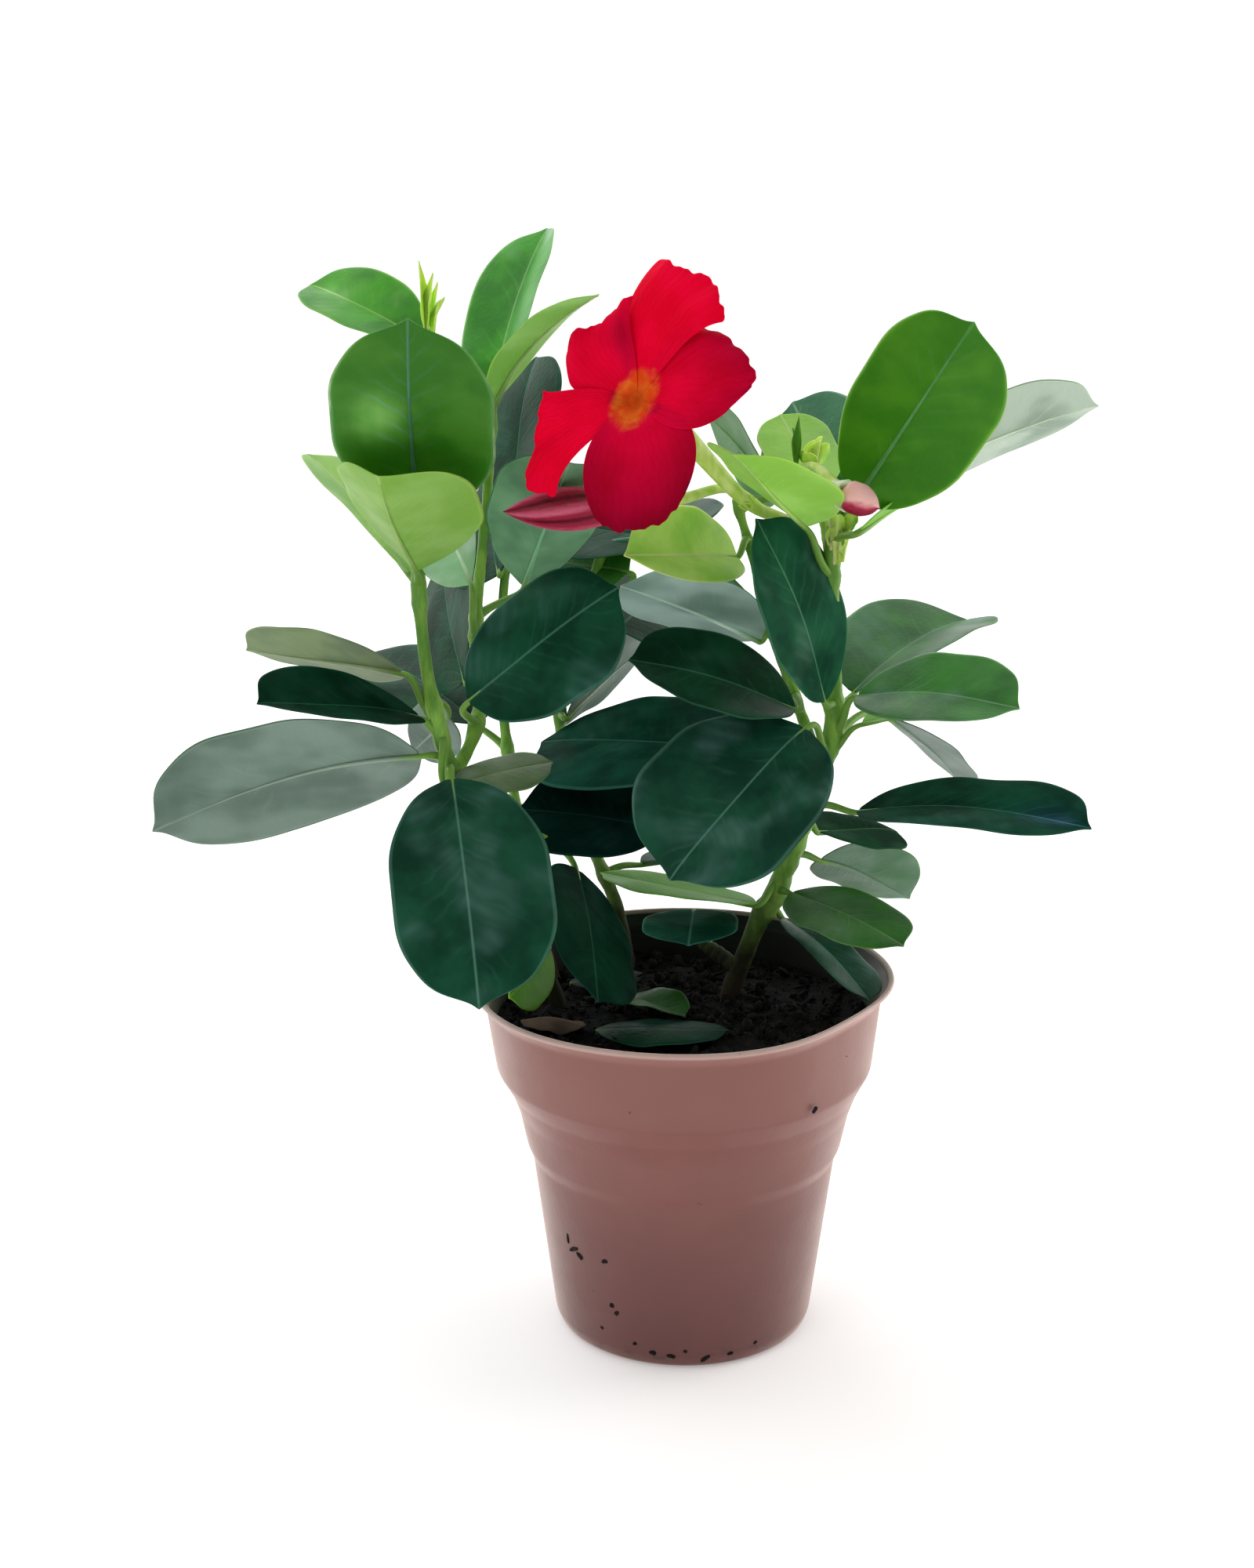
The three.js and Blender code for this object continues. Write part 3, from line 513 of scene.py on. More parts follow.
class Paints:
    """Materials made once and shared."""

    made: dict[str, list[bpy.types.Material]] = {}

    @classmethod
    def leaf(cls, look: LeafLook) -> list[bpy.types.Material]:
        """The upper face, lower face and rib of a leaf look."""
        if look.name not in cls.made:
            cls.made[look.name] = [look.value.upper(), look.value.lower(), look.value.rib()]
        return cls.made[look.name]

    @classmethod
    def petal(cls) -> list[bpy.types.Material]:
        """The face and back of the open flower."""
        if PETAL.name not in cls.made:
            cls.made[PETAL.name] = [PETAL.front(), PETAL.reverse()]
        return cls.made[PETAL.name]

    @classmethod
    def plain(cls, finish: PlasticFinish | PeatFinish | StemFinish | RolledFinish) -> bpy.types.Material:
        """The one material of a simple finish."""
        key = repr(finish)
        if key not in cls.made:
            cls.made[key] = [finish.material()]
        return cls.made[key][0]


# ---- Modelling ----------------------------------------------------------------------------------------------------


def select_only(*pieces: bpy.types.Object) -> None:
    """Select these pieces and nothing else, and make the first active."""
    bpy.ops.object.select_all(action="DESELECT")
    for piece in pieces:
        piece.select_set(True)
    bpy.context.view_layer.objects.active = pieces[0]


@contextmanager
def editing(piece: bpy.types.Object) -> Iterator[None]:
    """Edit mode on one piece, with everything in it selected."""
    select_only(piece)
    bpy.ops.object.mode_set(mode="EDIT")
    bpy.ops.mesh.select_all(action="SELECT")
    try:
        yield
    finally:
        bpy.ops.object.mode_set(mode="OBJECT")


def places(piece: bpy.types.Object) -> np.ndarray:
    """The piece's vertices as rows of x, y, z, in the units that they hold."""
    flat = np.empty(len(piece.data.vertices) * 3)
    piece.data.vertices.foreach_get("co", flat)
    return flat.reshape(-1, 3)


def put(piece: bpy.types.Object, points: np.ndarray) -> None:
    """Move the piece's vertices to points given in millimetres."""
    piece.data.vertices.foreach_set("co", (points * MM).astype(np.float32).ravel())
    piece.data.update()


def carry(piece: bpy.types.Object, name: str, values: np.ndarray) -> None:
    """Store three numbers a vertex on the piece, for its material to read."""
    stored = piece.data.attributes.new(name, "FLOAT_VECTOR", "POINT")
    stored.data.foreach_set("vector", values.astype(np.float32).ravel())


def apply(piece: bpy.types.Object, kind: str, **settings: object) -> None:
    """Add a modifier with its settings and apply it.

    Args:
        piece: The piece to change.
        kind: Blender's identifier of the modifier.
        settings: The modifier's own properties.
    """
    modifier = piece.modifiers.new(kind.title(), kind)
    for name, value in settings.items():
        setattr(modifier, name, value)
    select_only(piece)
    bpy.ops.object.modifier_apply(modifier=modifier.name)


def paint(piece: bpy.types.Object, *materials: bpy.types.Material) -> None:
    """Give the piece these material slots."""
    piece.data.materials.clear()
    for material in materials:
        piece.data.materials.append(material)


def smooth(piece: bpy.types.Object, angle: float = 180) -> None:
    """Shade the piece smooth, with edges sharper than angle degrees kept crisp."""
    select_only(piece)
    bpy.ops.object.shade_smooth_by_angle(angle=math.radians(angle))


def dress(piece: bpy.types.Object, *materials: bpy.types.Material, angle: float = 180) -> bpy.types.Object:
    """Shade a piece smooth up to an angle, give it its materials and return it."""
    smooth(piece, angle)
    paint(piece, *materials)
    return piece


def thicken(piece: bpy.types.Object, thickness: float) -> bpy.types.Object:
    """Make a sheet this many millimetres thick, with its second material below, and round and smooth it."""
    apply(piece, "SOLIDIFY", thickness=thickness * MM, offset=0, material_offset=1)
    apply(piece, "SUBSURF", levels=1, render_levels=1)
    smooth(piece)
    return piece


def join(name: str, pieces: Sequence[bpy.types.Object]) -> bpy.types.Object:
    """Join pieces into the first one, and name it."""
    select_only(*pieces)
    if len(pieces) > 1:
        bpy.ops.object.join()
    pieces[0].name = name
    pieces[0].data.name = name
    return pieces[0]


def hand_in(piece: bpy.types.Object, slot: str, *nodes: str) -> None:
    """Let a finished piece ride on the part and stand for its nodes."""
    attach(piece, BODY)
    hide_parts(*nodes)
    log.info("%s: %d faces, for %s", piece.name, len(piece.data.polygons), ", ".join(nodes))


def copy_of(piece: bpy.types.Object, name: str) -> bpy.types.Object:
    """A copy of a piece with its own mesh."""
    twin = bpy.data.objects.new(name, piece.data.copy())
    bpy.context.scene.collection.objects.link(twin)
    return twin


def begin(name: str, primitive: Callable, **settings: object) -> bpy.types.Object:
    """Add a primitive with nothing else selected.

    Args:
        name: The piece's name.
        primitive: Blender's operator that adds it.
        settings: The operator's own settings.

    Returns:
        The new piece.
    """
    bpy.ops.object.select_all(action="DESELECT")
    primitive(**settings)
    piece = bpy.context.active_object
    piece.name = name
    return piece


def grid(name: str, rows: int, columns: int) -> bpy.types.Object:
    """A flat grid, two units wide each way, with rows along X and columns along Y."""
    return begin(name, bpy.ops.mesh.primitive_grid_add, x_subdivisions=rows, y_subdivisions=columns, size=2)


def ball(name: str, segments: int, rings: int) -> bpy.types.Object:
    """A round ball of radius one."""
    return begin(name, bpy.ops.mesh.primitive_uv_sphere_add, segments=segments, ring_count=rings, radius=1)


def rod(name: str, path: np.ndarray, radii: np.ndarray, roundness: int = 2) -> bpy.types.Object:
    """A round rod along a path.

    Args:
        name: The piece's name.
        path: Points in millimetres.
        radii: Its radius at each point.
        roundness: Blender's bevel resolution; 2 gives eight sides.

    Returns:
        The rod, as a mesh.
    """
    curve = begin(name, bpy.ops.curve.primitive_nurbs_path_add).data
    curve.splines.clear()
    spline = curve.splines.new("POLY")
    spline.points.add(len(path) - 1)
    spline.points.foreach_set("co", np.c_[path * MM, np.ones(len(path))].astype(np.float32).ravel())
    spline.points.foreach_set("radius", (radii * MM).astype(np.float32))
    curve.dimensions = "3D"
    curve.twist_mode = "MINIMUM"
    curve.bevel_mode = "ROUND"
    curve.bevel_depth = 1
    curve.bevel_resolution = roundness
    curve.use_fill_caps = True
    bpy.ops.object.convert(target="MESH")
    return bpy.context.active_object


def turned(name: str, profile: Sequence[Pair], steps: int) -> bpy.types.Object:
    """Turn a profile about the Z axis.

    Args:
        name: The piece's name.
        profile: Pairs of radius and height in millimetres, from the axis back to the axis.
        steps: Faces round the axis.

    Returns:
        The closed solid, with its faces outwards.
    """
    piece = begin(name, bpy.ops.mesh.primitive_circle_add, vertices=len(profile), radius=1, fill_type="NOTHING")
    put(piece, np.array([(radius, 0, height) for radius, height in profile]))
    closing = {0, len(profile) - 1}
    bpy.ops.object.mode_set(mode="EDIT")
    bpy.ops.mesh.select_mode(type="EDGE")
    bpy.ops.object.mode_set(mode="OBJECT")
    for vertex in piece.data.vertices:
        vertex.select = False
    for edge in piece.data.edges:
        edge.select = set(edge.vertices) == closing
    bpy.ops.object.mode_set(mode="EDIT")
    bpy.ops.mesh.delete(type="EDGE")
    bpy.ops.mesh.select_all(action="SELECT")
    bpy.ops.mesh.spin(steps=steps, angle=2 * math.pi, center=(0, 0, 0), axis=(0, 0, 1))
    bpy.ops.mesh.select_all(action="SELECT")
    bpy.ops.mesh.remove_doubles(threshold=MERGE * MM)
    bpy.ops.mesh.normals_make_consistent(inside=False)
    bpy.ops.mesh.select_mode(type="VERT")
    bpy.ops.object.mode_set(mode="OBJECT")
    return piece


# ---- Lines and curves ---------------------------------------------------------------------------------------------


def unit(vector: np.ndarray) -> np.ndarray:
    """The vector at length one."""
    return vector / np.linalg.norm(vector)


def even_steps(path: np.ndarray, shares: np.ndarray) -> np.ndarray:
    """Points of a path at shares of its length."""
    walked = np.r_[0, np.cumsum(np.linalg.norm(np.diff(path, axis=0), axis=1))]
    return np.c_[tuple(np.interp(shares * walked[-1], walked, path[:, axis]) for axis in range(3))]


def smooth_path(points: Sequence[Point], count: int) -> np.ndarray:
    """Even steps along the centripetal Catmull-Rom curve through points.

    Args:
        points: The points that the curve passes through.
        count: How many steps to return.

    Returns:
        The points of the curve.
    """
    given = np.array(points, float)
    given = np.vstack([2 * given[0] - given[1], given, 2 * given[-1] - given[-2]])
    share = np.linspace(0, 1, 24, endpoint=False)[:, None]
    stretches = []
    for before, start, end, after in zip(given, given[1:], given[2:], given[3:]):
        first, middle, last = (math.sqrt(np.linalg.norm(b - a)) for a, b in
                               ((before, start), (start, end), (end, after)))
        leave = (start - before) / first - (end - before) / (first + middle) + (end - start) / middle
        arrive = (end - start) / middle - (after - start) / (middle + last) + (after - end) / last
        leave, arrive = leave * middle, arrive * middle
        square = 3 * (end - start) - 2 * leave - arrive
        cube = 2 * (start - end) + leave + arrive
        stretches.append(start + leave * share + square * share**2 + cube * share**3)
    return even_steps(np.vstack([*stretches, given[-2:-1]]), np.linspace(0, 1, count))


def bezier(corners: Sequence[np.ndarray], count: int) -> np.ndarray:
    """Points of the cubic Bezier curve with these four corners."""
    t = np.linspace(0, 1, count)[:, None]
    start, first, second, end = corners
    return (1 - t)**3 * start + 3 * t * (1 - t)**2 * first + 3 * t**2 * (1 - t) * second + t**3 * end


def through(places_at: Sequence[float], values: Sequence[float], wanted: np.ndarray) -> np.ndarray:
    """A smooth curve through values, by cubic stretches that don't overshoot.

    Args:
        places_at: Where the values are, in rising order.
        values: The values there.
        wanted: Where to read the curve.

    Returns:
        The curve's values.
    """
    x, y = np.array(places_at, float), np.array(values, float)
    rise = np.diff(y) / np.diff(x)
    slope = np.r_[rise[0], (rise[:-1] + rise[1:]) / 2, rise[-1]]
    slope[1:-1][rise[:-1] * rise[1:] <= 0] = 0
    index = np.clip(np.searchsorted(x, wanted, side="right") - 1, 0, len(x) - 2)
    span = x[index + 1] - x[index]
    t = (wanted - x[index]) / span
    start, end = y[index], y[index + 1]
    return (start * (1 + 2 * t) * (1 - t)**2 + end * t**2 * (3 - 2 * t)
            + span * t * (1 - t) * (slope[index] * (1 - t) - slope[index + 1] * t))


def heading(azimuth: float, rise: float) -> np.ndarray:
    """The direction at an azimuth from +X to +Y and a rise from level, in radians."""
    return np.array([math.cos(azimuth) * math.cos(rise), math.sin(azimuth) * math.cos(rise), math.sin(rise)])


def square_to(axis: np.ndarray, hint: Point) -> tuple[np.ndarray, np.ndarray]:
    """Two unit vectors square to an axis and to each other; the first is square to the hint too."""
    beside = unit(np.cross(axis, hint))
    return beside, np.cross(axis, beside)


def blade_axes(turn: Point) -> np.ndarray:
    """A blade's own axes.

    Args:
        turn: Azimuth from +X to +Y, rise from level, and roll of the upper face about the chord, in degrees.

    Returns:
        Three rows: along its chord, across it, and out of its upper face.
    """
    azimuth, rise, roll = (math.radians(value) for value in turn)
    along = heading(azimuth, rise)
    level = np.array([-math.cos(azimuth) * math.sin(rise), -math.sin(azimuth) * math.sin(rise), math.cos(rise)])
    side = np.cross(level, along)
    up = level * math.cos(roll) + side * math.sin(roll)
    across = side * math.cos(roll) - level * math.sin(roll)
    return np.array([along, across, up])


# ---- Pot ----------------------------------------------------------------------------------------------------------


@dataclass
class Pot:
    """The thin nursery pot, with its rolled lip, collar, two shoulders, drain holes and the dirt on its wall."""

    height: float = 104
    wall: float = 1.2
    floor: float = 1.8
    floor_corner: float = 2.6
    hole_count: int = 6
    hole_radius: float = 3.5
    hole_ring: float = 23
    sides: int = 144
    corner: float = 1.0
    shoulders: Sequence[float] = (52, 55.5, 66, 72.5, 79)
    levels: Sequence[float] = (0, 1.2, 4, 52, 55.5, 66, 72.5, 79, 99.5, 102, 103.2, 104)
    radii: Sequence[float] = (34, 36, 37.1, 43.4, 45, 47.2, 49.6, 53.4, 56.4, 58.4, 60, 59.7)
    squeezes: Sequence[Point] = ((-36, -4.2, 26), (-138, 1.4, 26))
    squeeze_from: float = 66
    collar: float = 95
    flake_thickness: float = 0.2
    flake_gap: float = 0.05
    flake_dent: float = 0.45
    flake_lumps: float = 1.7
    flakes: Sequence[tuple[float, float, float, float]] = (
        (-143, 34.6, 0.5, 1.5), (-139.5, 32.3, 2.3, 0.6), (-136.5, 30.8, 1.5, 0.8), (-123.3, 32.3, 1.1, 0.6),
        (-121.7, 18.3, 0.8, 0.7), (-119.7, 16.1, 0.7, 0.8), (-50.2, 80.9, 1.2, 0.8), (-96, 4.6, 1.4, 0.6),
        (-104, 5.2, 1.1, 0.7), (-81, 3.9, 1.7, 0.6), (-90, 6.3, 0.6, 0.5), (-70, 4.4, 1.0, 0.5),
        (-112, 7.4, 0.7, 0.5), (-128, 9.6, 0.6, 0.4), (-58, 6.1, 0.7, 0.4),
    )

    def radius(self, level: float | np.ndarray) -> float | np.ndarray:
        """Outer radius of the wall at a height."""
        return np.interp(level, self.levels, self.radii)

    def squeezed(self, points: np.ndarray) -> np.ndarray:
        """Press points of the round pot to its real, slightly squeezed form.

        Args:
            points: Rows of x, y, z in millimetres.

        Returns:
            The moved points.
        """
        share = np.clip((points[:, 2] - self.squeeze_from) / (self.height - self.squeeze_from), 0, 1)
        strength = share**2 * (3 - 2 * share)
        angle = np.degrees(np.arctan2(points[:, 1], points[:, 0]))
        change = np.zeros(len(points))
        for at, amount, spread in self.squeezes:
            away = (angle - at + 180) % 360 - 180
            change += amount * np.exp(-(away / spread)**2)
        scale = 1 + strength * change / max(self.radii)
        return points * np.c_[scale, scale, np.ones(len(points))]

    def profile(self) -> list[Pair]:
        """Radius and height from the axis under the floor, round the lip, and back to the axis inside."""
        outside = list(zip(self.radii, self.levels))
        inner_levels = [self.height, 102.7, 100.5, *reversed(self.shoulders), 7]
        inside = [(float(self.radius(level)) - self.wall, level) for level in inner_levels]
        edge = float(self.radius(4)) - self.floor_corner
        return self.rounded([(0, 0), *outside, *inside, (edge, self.floor), (0, self.floor)])

    def rounded(self, corners: Sequence[Pair]) -> list[Pair]:
        """Replace each inner corner of a profile by a short arc."""
        points = np.array(corners, float)
        soft = [points[0]]
        for before, here, after in zip(points, points[1:], points[2:]):
            back, ahead = before - here, after - here
            reach = min(self.corner, 0.4 * np.linalg.norm(back), 0.4 * np.linalg.norm(ahead))
            start, end = here + unit(back) * reach, here + unit(ahead) * reach
            for t in (0, 0.35, 0.65, 1):
                soft.append((1 - t)**2 * start + 2 * t * (1 - t) * here + t**2 * end)
        soft.append(points[-1])
        return [tuple(point) for point in soft]

    def drill(self, pot: bpy.types.Object) -> None:
        """Cut the drain holes through the floor."""
        drills = []
        for i in range(self.hole_count):
            angle = 2 * math.pi * i / self.hole_count
            centre = (self.hole_ring * MM * math.cos(angle), self.hole_ring * MM * math.sin(angle), 0)
            drills.append(begin("drain_drill", bpy.ops.mesh.primitive_cylinder_add, vertices=32, location=centre,
                                radius=self.hole_radius * MM, depth=4 * self.floor * MM))
            bpy.ops.object.transform_apply(location=True)
        drill = join("drain_drill", drills)
        apply(pot, "BOOLEAN", object=drill, operation="DIFFERENCE", solver="EXACT")
        bpy.data.objects.remove(drill)

    def dirt(self) -> list[bpy.types.Object]:
        """Flakes of dried peat that stick to the wall."""
        stuck = []
        for number, (angle, level, wide, tall) in enumerate(self.flakes):
            flake = ball(f"peat_flake_{number}", 12, 8)
            local = places(flake)
            bumpy = np.array([1 + self.flake_dent * noise.noise(tuple(point * self.flake_lumps)) for point in local])
            turn = math.radians(angle)
            out = np.array([math.cos(turn), math.sin(turn), -0.12])
            side = np.array([-math.sin(turn), math.cos(turn), 0])
            centre = out * (float(self.radius(level)) + self.flake_gap)
            centre[2] = level
            tilt = math.radians(35 * math.sin(number * 2.3))
            wide_way = side * math.cos(tilt) + np.array([0, 0, 1]) * math.sin(tilt)
            tall_way = np.cross(out, wide_way)
            spread = local * bumpy[:, None]
            points = (centre + spread[:, :1] * wide_way * wide + spread[:, 1:2] * tall_way * tall
                      + spread[:, 2:] * out * self.flake_thickness)
            put(flake, points)
            stuck.append(dress(flake, Paints.plain(PEAT)))
        return stuck

    def build(self) -> None:
        """Make the pot and let it stand for its node."""
        pot = turned("pot_shell", self.profile(), self.sides)
        self.drill(pot)
        points = places(pot) / MM
        reach = np.hypot(points[:, 0], points[:, 1])
        # inner marks the inside of the wall and ledge the sloping shoulders, which the plastic paints darker: painted
        # shade.
        inner = (reach < self.radius(points[:, 2]) - 0.4 * self.wall) & (points[:, 2] > self.floor - 0.1)
        inner &= points[:, 2] < self.height - 1
        slope = (self.radius(points[:, 2] + 1.5) - self.radius(points[:, 2] - 1.5)) / 3
        ledge = slope * (points[:, 2] < self.collar) * (points[:, 2] > self.floor_corner + 2)
        carry(pot, "wall", np.c_[inner, points[:, 2], ledge])
        put(pot, self.squeezed(points))
        smooth(pot, 40)
        paint(pot, Paints.plain(PLASTIC))
        hand_in(join("pot_shell", [pot, *self.dirt()]), "pot_plastic", "pot")


# ---- Soil ---------------------------------------------------------------------------------------------------------


@dataclass
class Soil:
    """Dark peat with crumbs and fibres on top."""

    pot: Pot
    level: float = 91.5
    radius: float = 54
    mound: float = 1.6
    gap: float = 0.4
    sides: int = 110
    bottom_edge: float = 9
    top_radius: float = 52
    top_rings: int = 40
    crumbs: int = 1500
    crumb_reach: float = 52.5
    crumb_size: Pair = (0.35, 1.5)
    fibre_every: int = 9
    fibre: Point = (4.5, 0.35, 0.35)
    seed: int = 7

    def height(self, x: np.ndarray, y: np.ndarray) -> np.ndarray:
        """Height of the mound at places given in millimetres."""
        share = np.minimum(1, np.hypot(x, y) / self.radius)
        lumps = 0.9 * np.sin(0.23 * x + 1) * np.cos(0.19 * y) + 0.5 * np.sin(0.51 * x + 0.37 * y)
        return self.level + self.mound * (1 - share**2) + lumps * (1 - share**4)

    def bed(self) -> bpy.types.Object:
        """The body of peat."""
        bottom = self.pot.floor + self.gap
        edge = float(self.pot.radius(4)) - self.pot.floor_corner - 2 * self.gap
        levels = [self.bottom_edge, *self.pot.shoulders, self.level]
        walls = [(float(self.pot.radius(level)) - self.pot.wall - self.gap, level) for level in levels]
        top = [(radius, self.level) for radius in np.linspace(self.top_radius, 0, self.top_rings)]
        bed = turned("peat_bed", [(0, bottom), (edge, bottom), *walls, *top], self.sides)
        points = self.pot.squeezed(places(bed) / MM)
        on_top = points[:, 2] > self.level - 0.01
        points[on_top, 2] = self.height(points[on_top, 0], points[on_top, 1])
        for index in np.flatnonzero(on_top):
            x, y, _ = points[index]
            rough = noise.turbulence((x / 4, y / 4, 1.7), 3, False)
            points[index, 2] += 1.1 * rough - 0.9
        put(bed, points)
        return dress(bed, Paints.plain(PEAT), angle=50)

    def crumb_field(self) -> bpy.types.Object:
        """Loose crumbs and fibres, one shape repeated over the top."""
        random = np.random.default_rng(self.seed)
        crumb = begin("peat_crumb", bpy.ops.mesh.primitive_ico_sphere_add, subdivisions=1, radius=1)
        shape = places(crumb)
        faces = np.array([tuple(face.vertices) for face in crumb.data.polygons])
        corners, triangles = [], []
        for number in range(self.crumbs):
            reach, angle = self.crumb_reach * math.sqrt(random.random()), random.random() * 2 * math.pi
            x, y = reach * math.cos(angle), reach * math.sin(angle)
            size = self.crumb_size[0] + self.crumb_size[1] * random.random()**3
            stretch = np.array([1, 1, 0.8]) * (1 + 0.35 * random.standard_normal(3)).clip(0.5, 1.6)
            spin = np.linalg.qr(random.standard_normal((3, 3)))[0]
            if np.linalg.det(spin) < 0:
                spin[:, 0] *= -1
            if number % self.fibre_every == 0:
                stretch = np.array(self.fibre)
                turn = random.random() * math.pi
                lift = 0.3 * random.standard_normal()
                ahead = unit(np.array([math.cos(turn), math.sin(turn), lift]))
                spin = np.array([ahead, *square_to(ahead, (0, 0, 1))])
            dented = shape * (1 + 0.25 * random.standard_normal((len(shape), 1)).clip(-1, 1))
            centre = self.pot.squeezed(np.array([[x, y, self.level]]))
            centre[0, 2] = self.height(centre[0, 0], centre[0, 1]) + 0.2 * size
            triangles.append(faces + len(corners) * len(shape))
            corners.append((dented * stretch * size) @ spin + centre)
        crumb.data = bpy.data.meshes.new("peat_crumbs")
        crumb.data.from_pydata((np.vstack(corners) * MM).tolist(), [], np.vstack(triangles).tolist())
        return dress(crumb, Paints.plain(PEAT), angle=60)

    def build(self) -> None:
        """Make the soil and let it stand for its node."""
        hand_in(join("potting_peat", [self.bed(), self.crumb_field()]), "peat", "soil")


# ---- Stems --------------------------------------------------------------------------------------------------------


@dataclass
class Stem:
    """One stem: the points that its middle line passes through, and its radius at the foot and at the tip."""

    points: Sequence[Point]
    foot: float
    tip: float
    line: np.ndarray = field(init=False)

    def __post_init__(self) -> None:
        """Work out the middle line."""
        self.line = smooth_path(self.points, 90)

    def at(self, height: float) -> np.ndarray:
        """Point of the middle line at a height."""
        levels = self.line[:, 2]
        return np.array([np.interp(height, levels, self.line[:, axis]) for axis in range(3)])

    def skin(self, name: str, nodes: Sequence[float]) -> bpy.types.Object:
        """The stem's surface, swollen a little at its nodes.

        Args:
            name: The piece's name.
            nodes: Heights of the nodes.

        Returns:
            The stem, with a rounded tip.
        """
        share = np.linspace(0, 1, len(self.line))
        radii = self.foot + (self.tip - self.foot) * share
        away = np.abs(self.line[:, 2, None] - np.array(nodes)).min(axis=1)
        radii *= 1 + 0.35 * np.exp(-(away / 2.6)**2)
        radii *= 1 + 0.04 * np.sin(share * 47) + 0.03 * np.sin(share * 113)
        ahead = unit(self.line[-1] - self.line[-2])
        path = np.vstack([self.line, self.line[-1] + ahead * self.tip * 0.6, self.line[-1] + ahead * self.tip])
        radii = np.r_[radii, self.tip * 0.75, self.tip * 0.2]
        return rod(name, path, radii, 4)


STEMS = {
    "left": Stem(
        [(-33, 12, 66), (-36, 9, 92), (-46, 4, 118), (-54, -3, 143), (-64, -10, 166), (-67, -11, 179),
         (-70, -10, 194), (-72, -8, 219), (-71, -6, 244), (-69, -2, 270), (-69, -1, 284)], 2.4, 1.35),
    "leftSide": Stem(
        [(-64, -9, 165), (-59, -2, 173), (-57, 4, 182), (-58, 10, 202), (-55, 16, 234), (-53, 19, 260)], 1.9, 1.2),
    "right": Stem(
        [(11, 15, 66), (13, 14, 91), (17, 13, 104), (22, 11, 118), (26, 10, 125), (29, 9, 135), (34, 8, 149),
         (38, 8, 164), (41, 9, 171), (41, 11, 191), (40, 12, 218), (41, 12, 234)], 3.0, 2.0),
    "rightLow": Stem([(16, 13, 101), (10, 18, 104), (2, 24, 108)], 2, 1.4),
    "rightSide": Stem([(38, 8, 163), (30, 16, 183), (24, 20, 200), (18, 24, 222), (14, 26, 235)], 1.7, 1.1),
    "rightTop": Stem([(40, 12, 216), (38, 17, 230), (35, 16, 242), (31, 13, 250)], 1.5, 1),
    "middle": Stem(
        [(-17, 38, 66), (-16, 40, 92), (-19, 42, 109), (-30, 44, 138), (-36, 46, 166), (-31, 48, 194),
         (-23, 50, 217)], 2.2, 1.2),
    "back": Stem(
        [(-30, 27, 68), (-39, 30, 96), (-46, 34, 129), (-51, 38, 159), (-53, 40, 187), (-51, 42, 214),
         (-49, 43, 232)], 2, 1.1),
}


# ---- Leaves -------------------------------------------------------------------------------------------------------


LANCE = (0.4, 0.5, 0.78, 1.0, 0.72, 0.38, 0.15, 0.07, 0.0)
BRACT = (0.5, 0.75, 0.95, 1.0, 0.9, 0.68, 0.42, 0.25, 0.05)


@dataclass
class Blade:
    """The form of one blade: a full oval that ends in a short blunt cusp, folded along its midrib and bent."""

    base: np.ndarray
    axes: np.ndarray
    length: float
    width: float
    bend: float
    fold: float
    seed: int = 0
    ripple: float = 1.0
    fullness: Sequence[float] = (0.06, 0.42, 0.77, 0.98, 0.98, 0.8, 0.46, 0.14, 0.0)
    shares: Sequence[float] = (0, 0.06, 0.2, 0.42, 0.64, 0.82, 0.93, 0.968, 1)
    edge_curl: float = 0.06

    def spine(self, share: np.ndarray) -> tuple[np.ndarray, np.ndarray]:
        """Points of the midrib, and the upper face's normals there, at shares of the length."""
        along, _, up = self.axes
        total = math.radians(self.bend or 0.1)
        reach = self.length / total
        slope = (total / 2 - total * share)[:, None]
        centre = self.base + along * reach * (math.sin(total / 2) - np.sin(slope))
        centre = centre + up * reach * (np.cos(slope) - math.cos(total / 2))
        return centre, up * np.cos(slope) - along * np.sin(slope)

    def surface(self, share: np.ndarray, side: np.ndarray) -> tuple[np.ndarray, np.ndarray]:
        """The blade's middle surface.

        Args:
            share: Shares of the length, one a vertex.
            side: Places across, from -1 to 1, one a vertex.

        Returns:
            The points, and what the material reads: share, side and millimetres from the midrib.
        """
        random = np.random.default_rng(self.seed)
        phase = random.random(6) * 2 * math.pi
        lean = 0.03 * random.standard_normal()
        centre, normal = self.spine(share)
        full = through(self.shares, self.fullness, share)
        half = self.width / 2 * full * (1 + lean * np.sign(side))
        beside = np.abs(side)
        tilt = math.radians(self.fold)
        soft = (np.sqrt(beside**2 + 0.004) - 0.063) / 0.939
        lift = half * math.sin(tilt) * soft - self.edge_curl * half * full * beside**2.4
        size = self.width / 40 * self.ripple
        wave = np.sin(share * 8 + phase[0] + 1.3 * np.sign(side)) + 0.4 * np.sin(share * 19 + phase[1])
        lift = lift + size * 0.5 * wave * beside**2.5 * full
        quilt = np.cos(2 * math.pi * (share * VEIN_PAIRS - VEIN_SWEEP * beside**VEIN_BOW))
        lift = lift + size * 0.1 * quilt * (1 - beside) * beside**0.4
        swell = np.sin(share * 5 + phase[2]) * np.cos(side * 2.4 + phase[3])
        lift = lift + size * 0.6 * swell * full
        groove = np.exp(-(half * side / 0.7)**2) * (1 - 0.5 * share)
        lift = lift - 0.25 * groove
        points = centre + self.axes[1] * (half * side * math.cos(tilt))[:, None] + normal * lift[:, None]
        return points, np.c_[share, side, half * side]


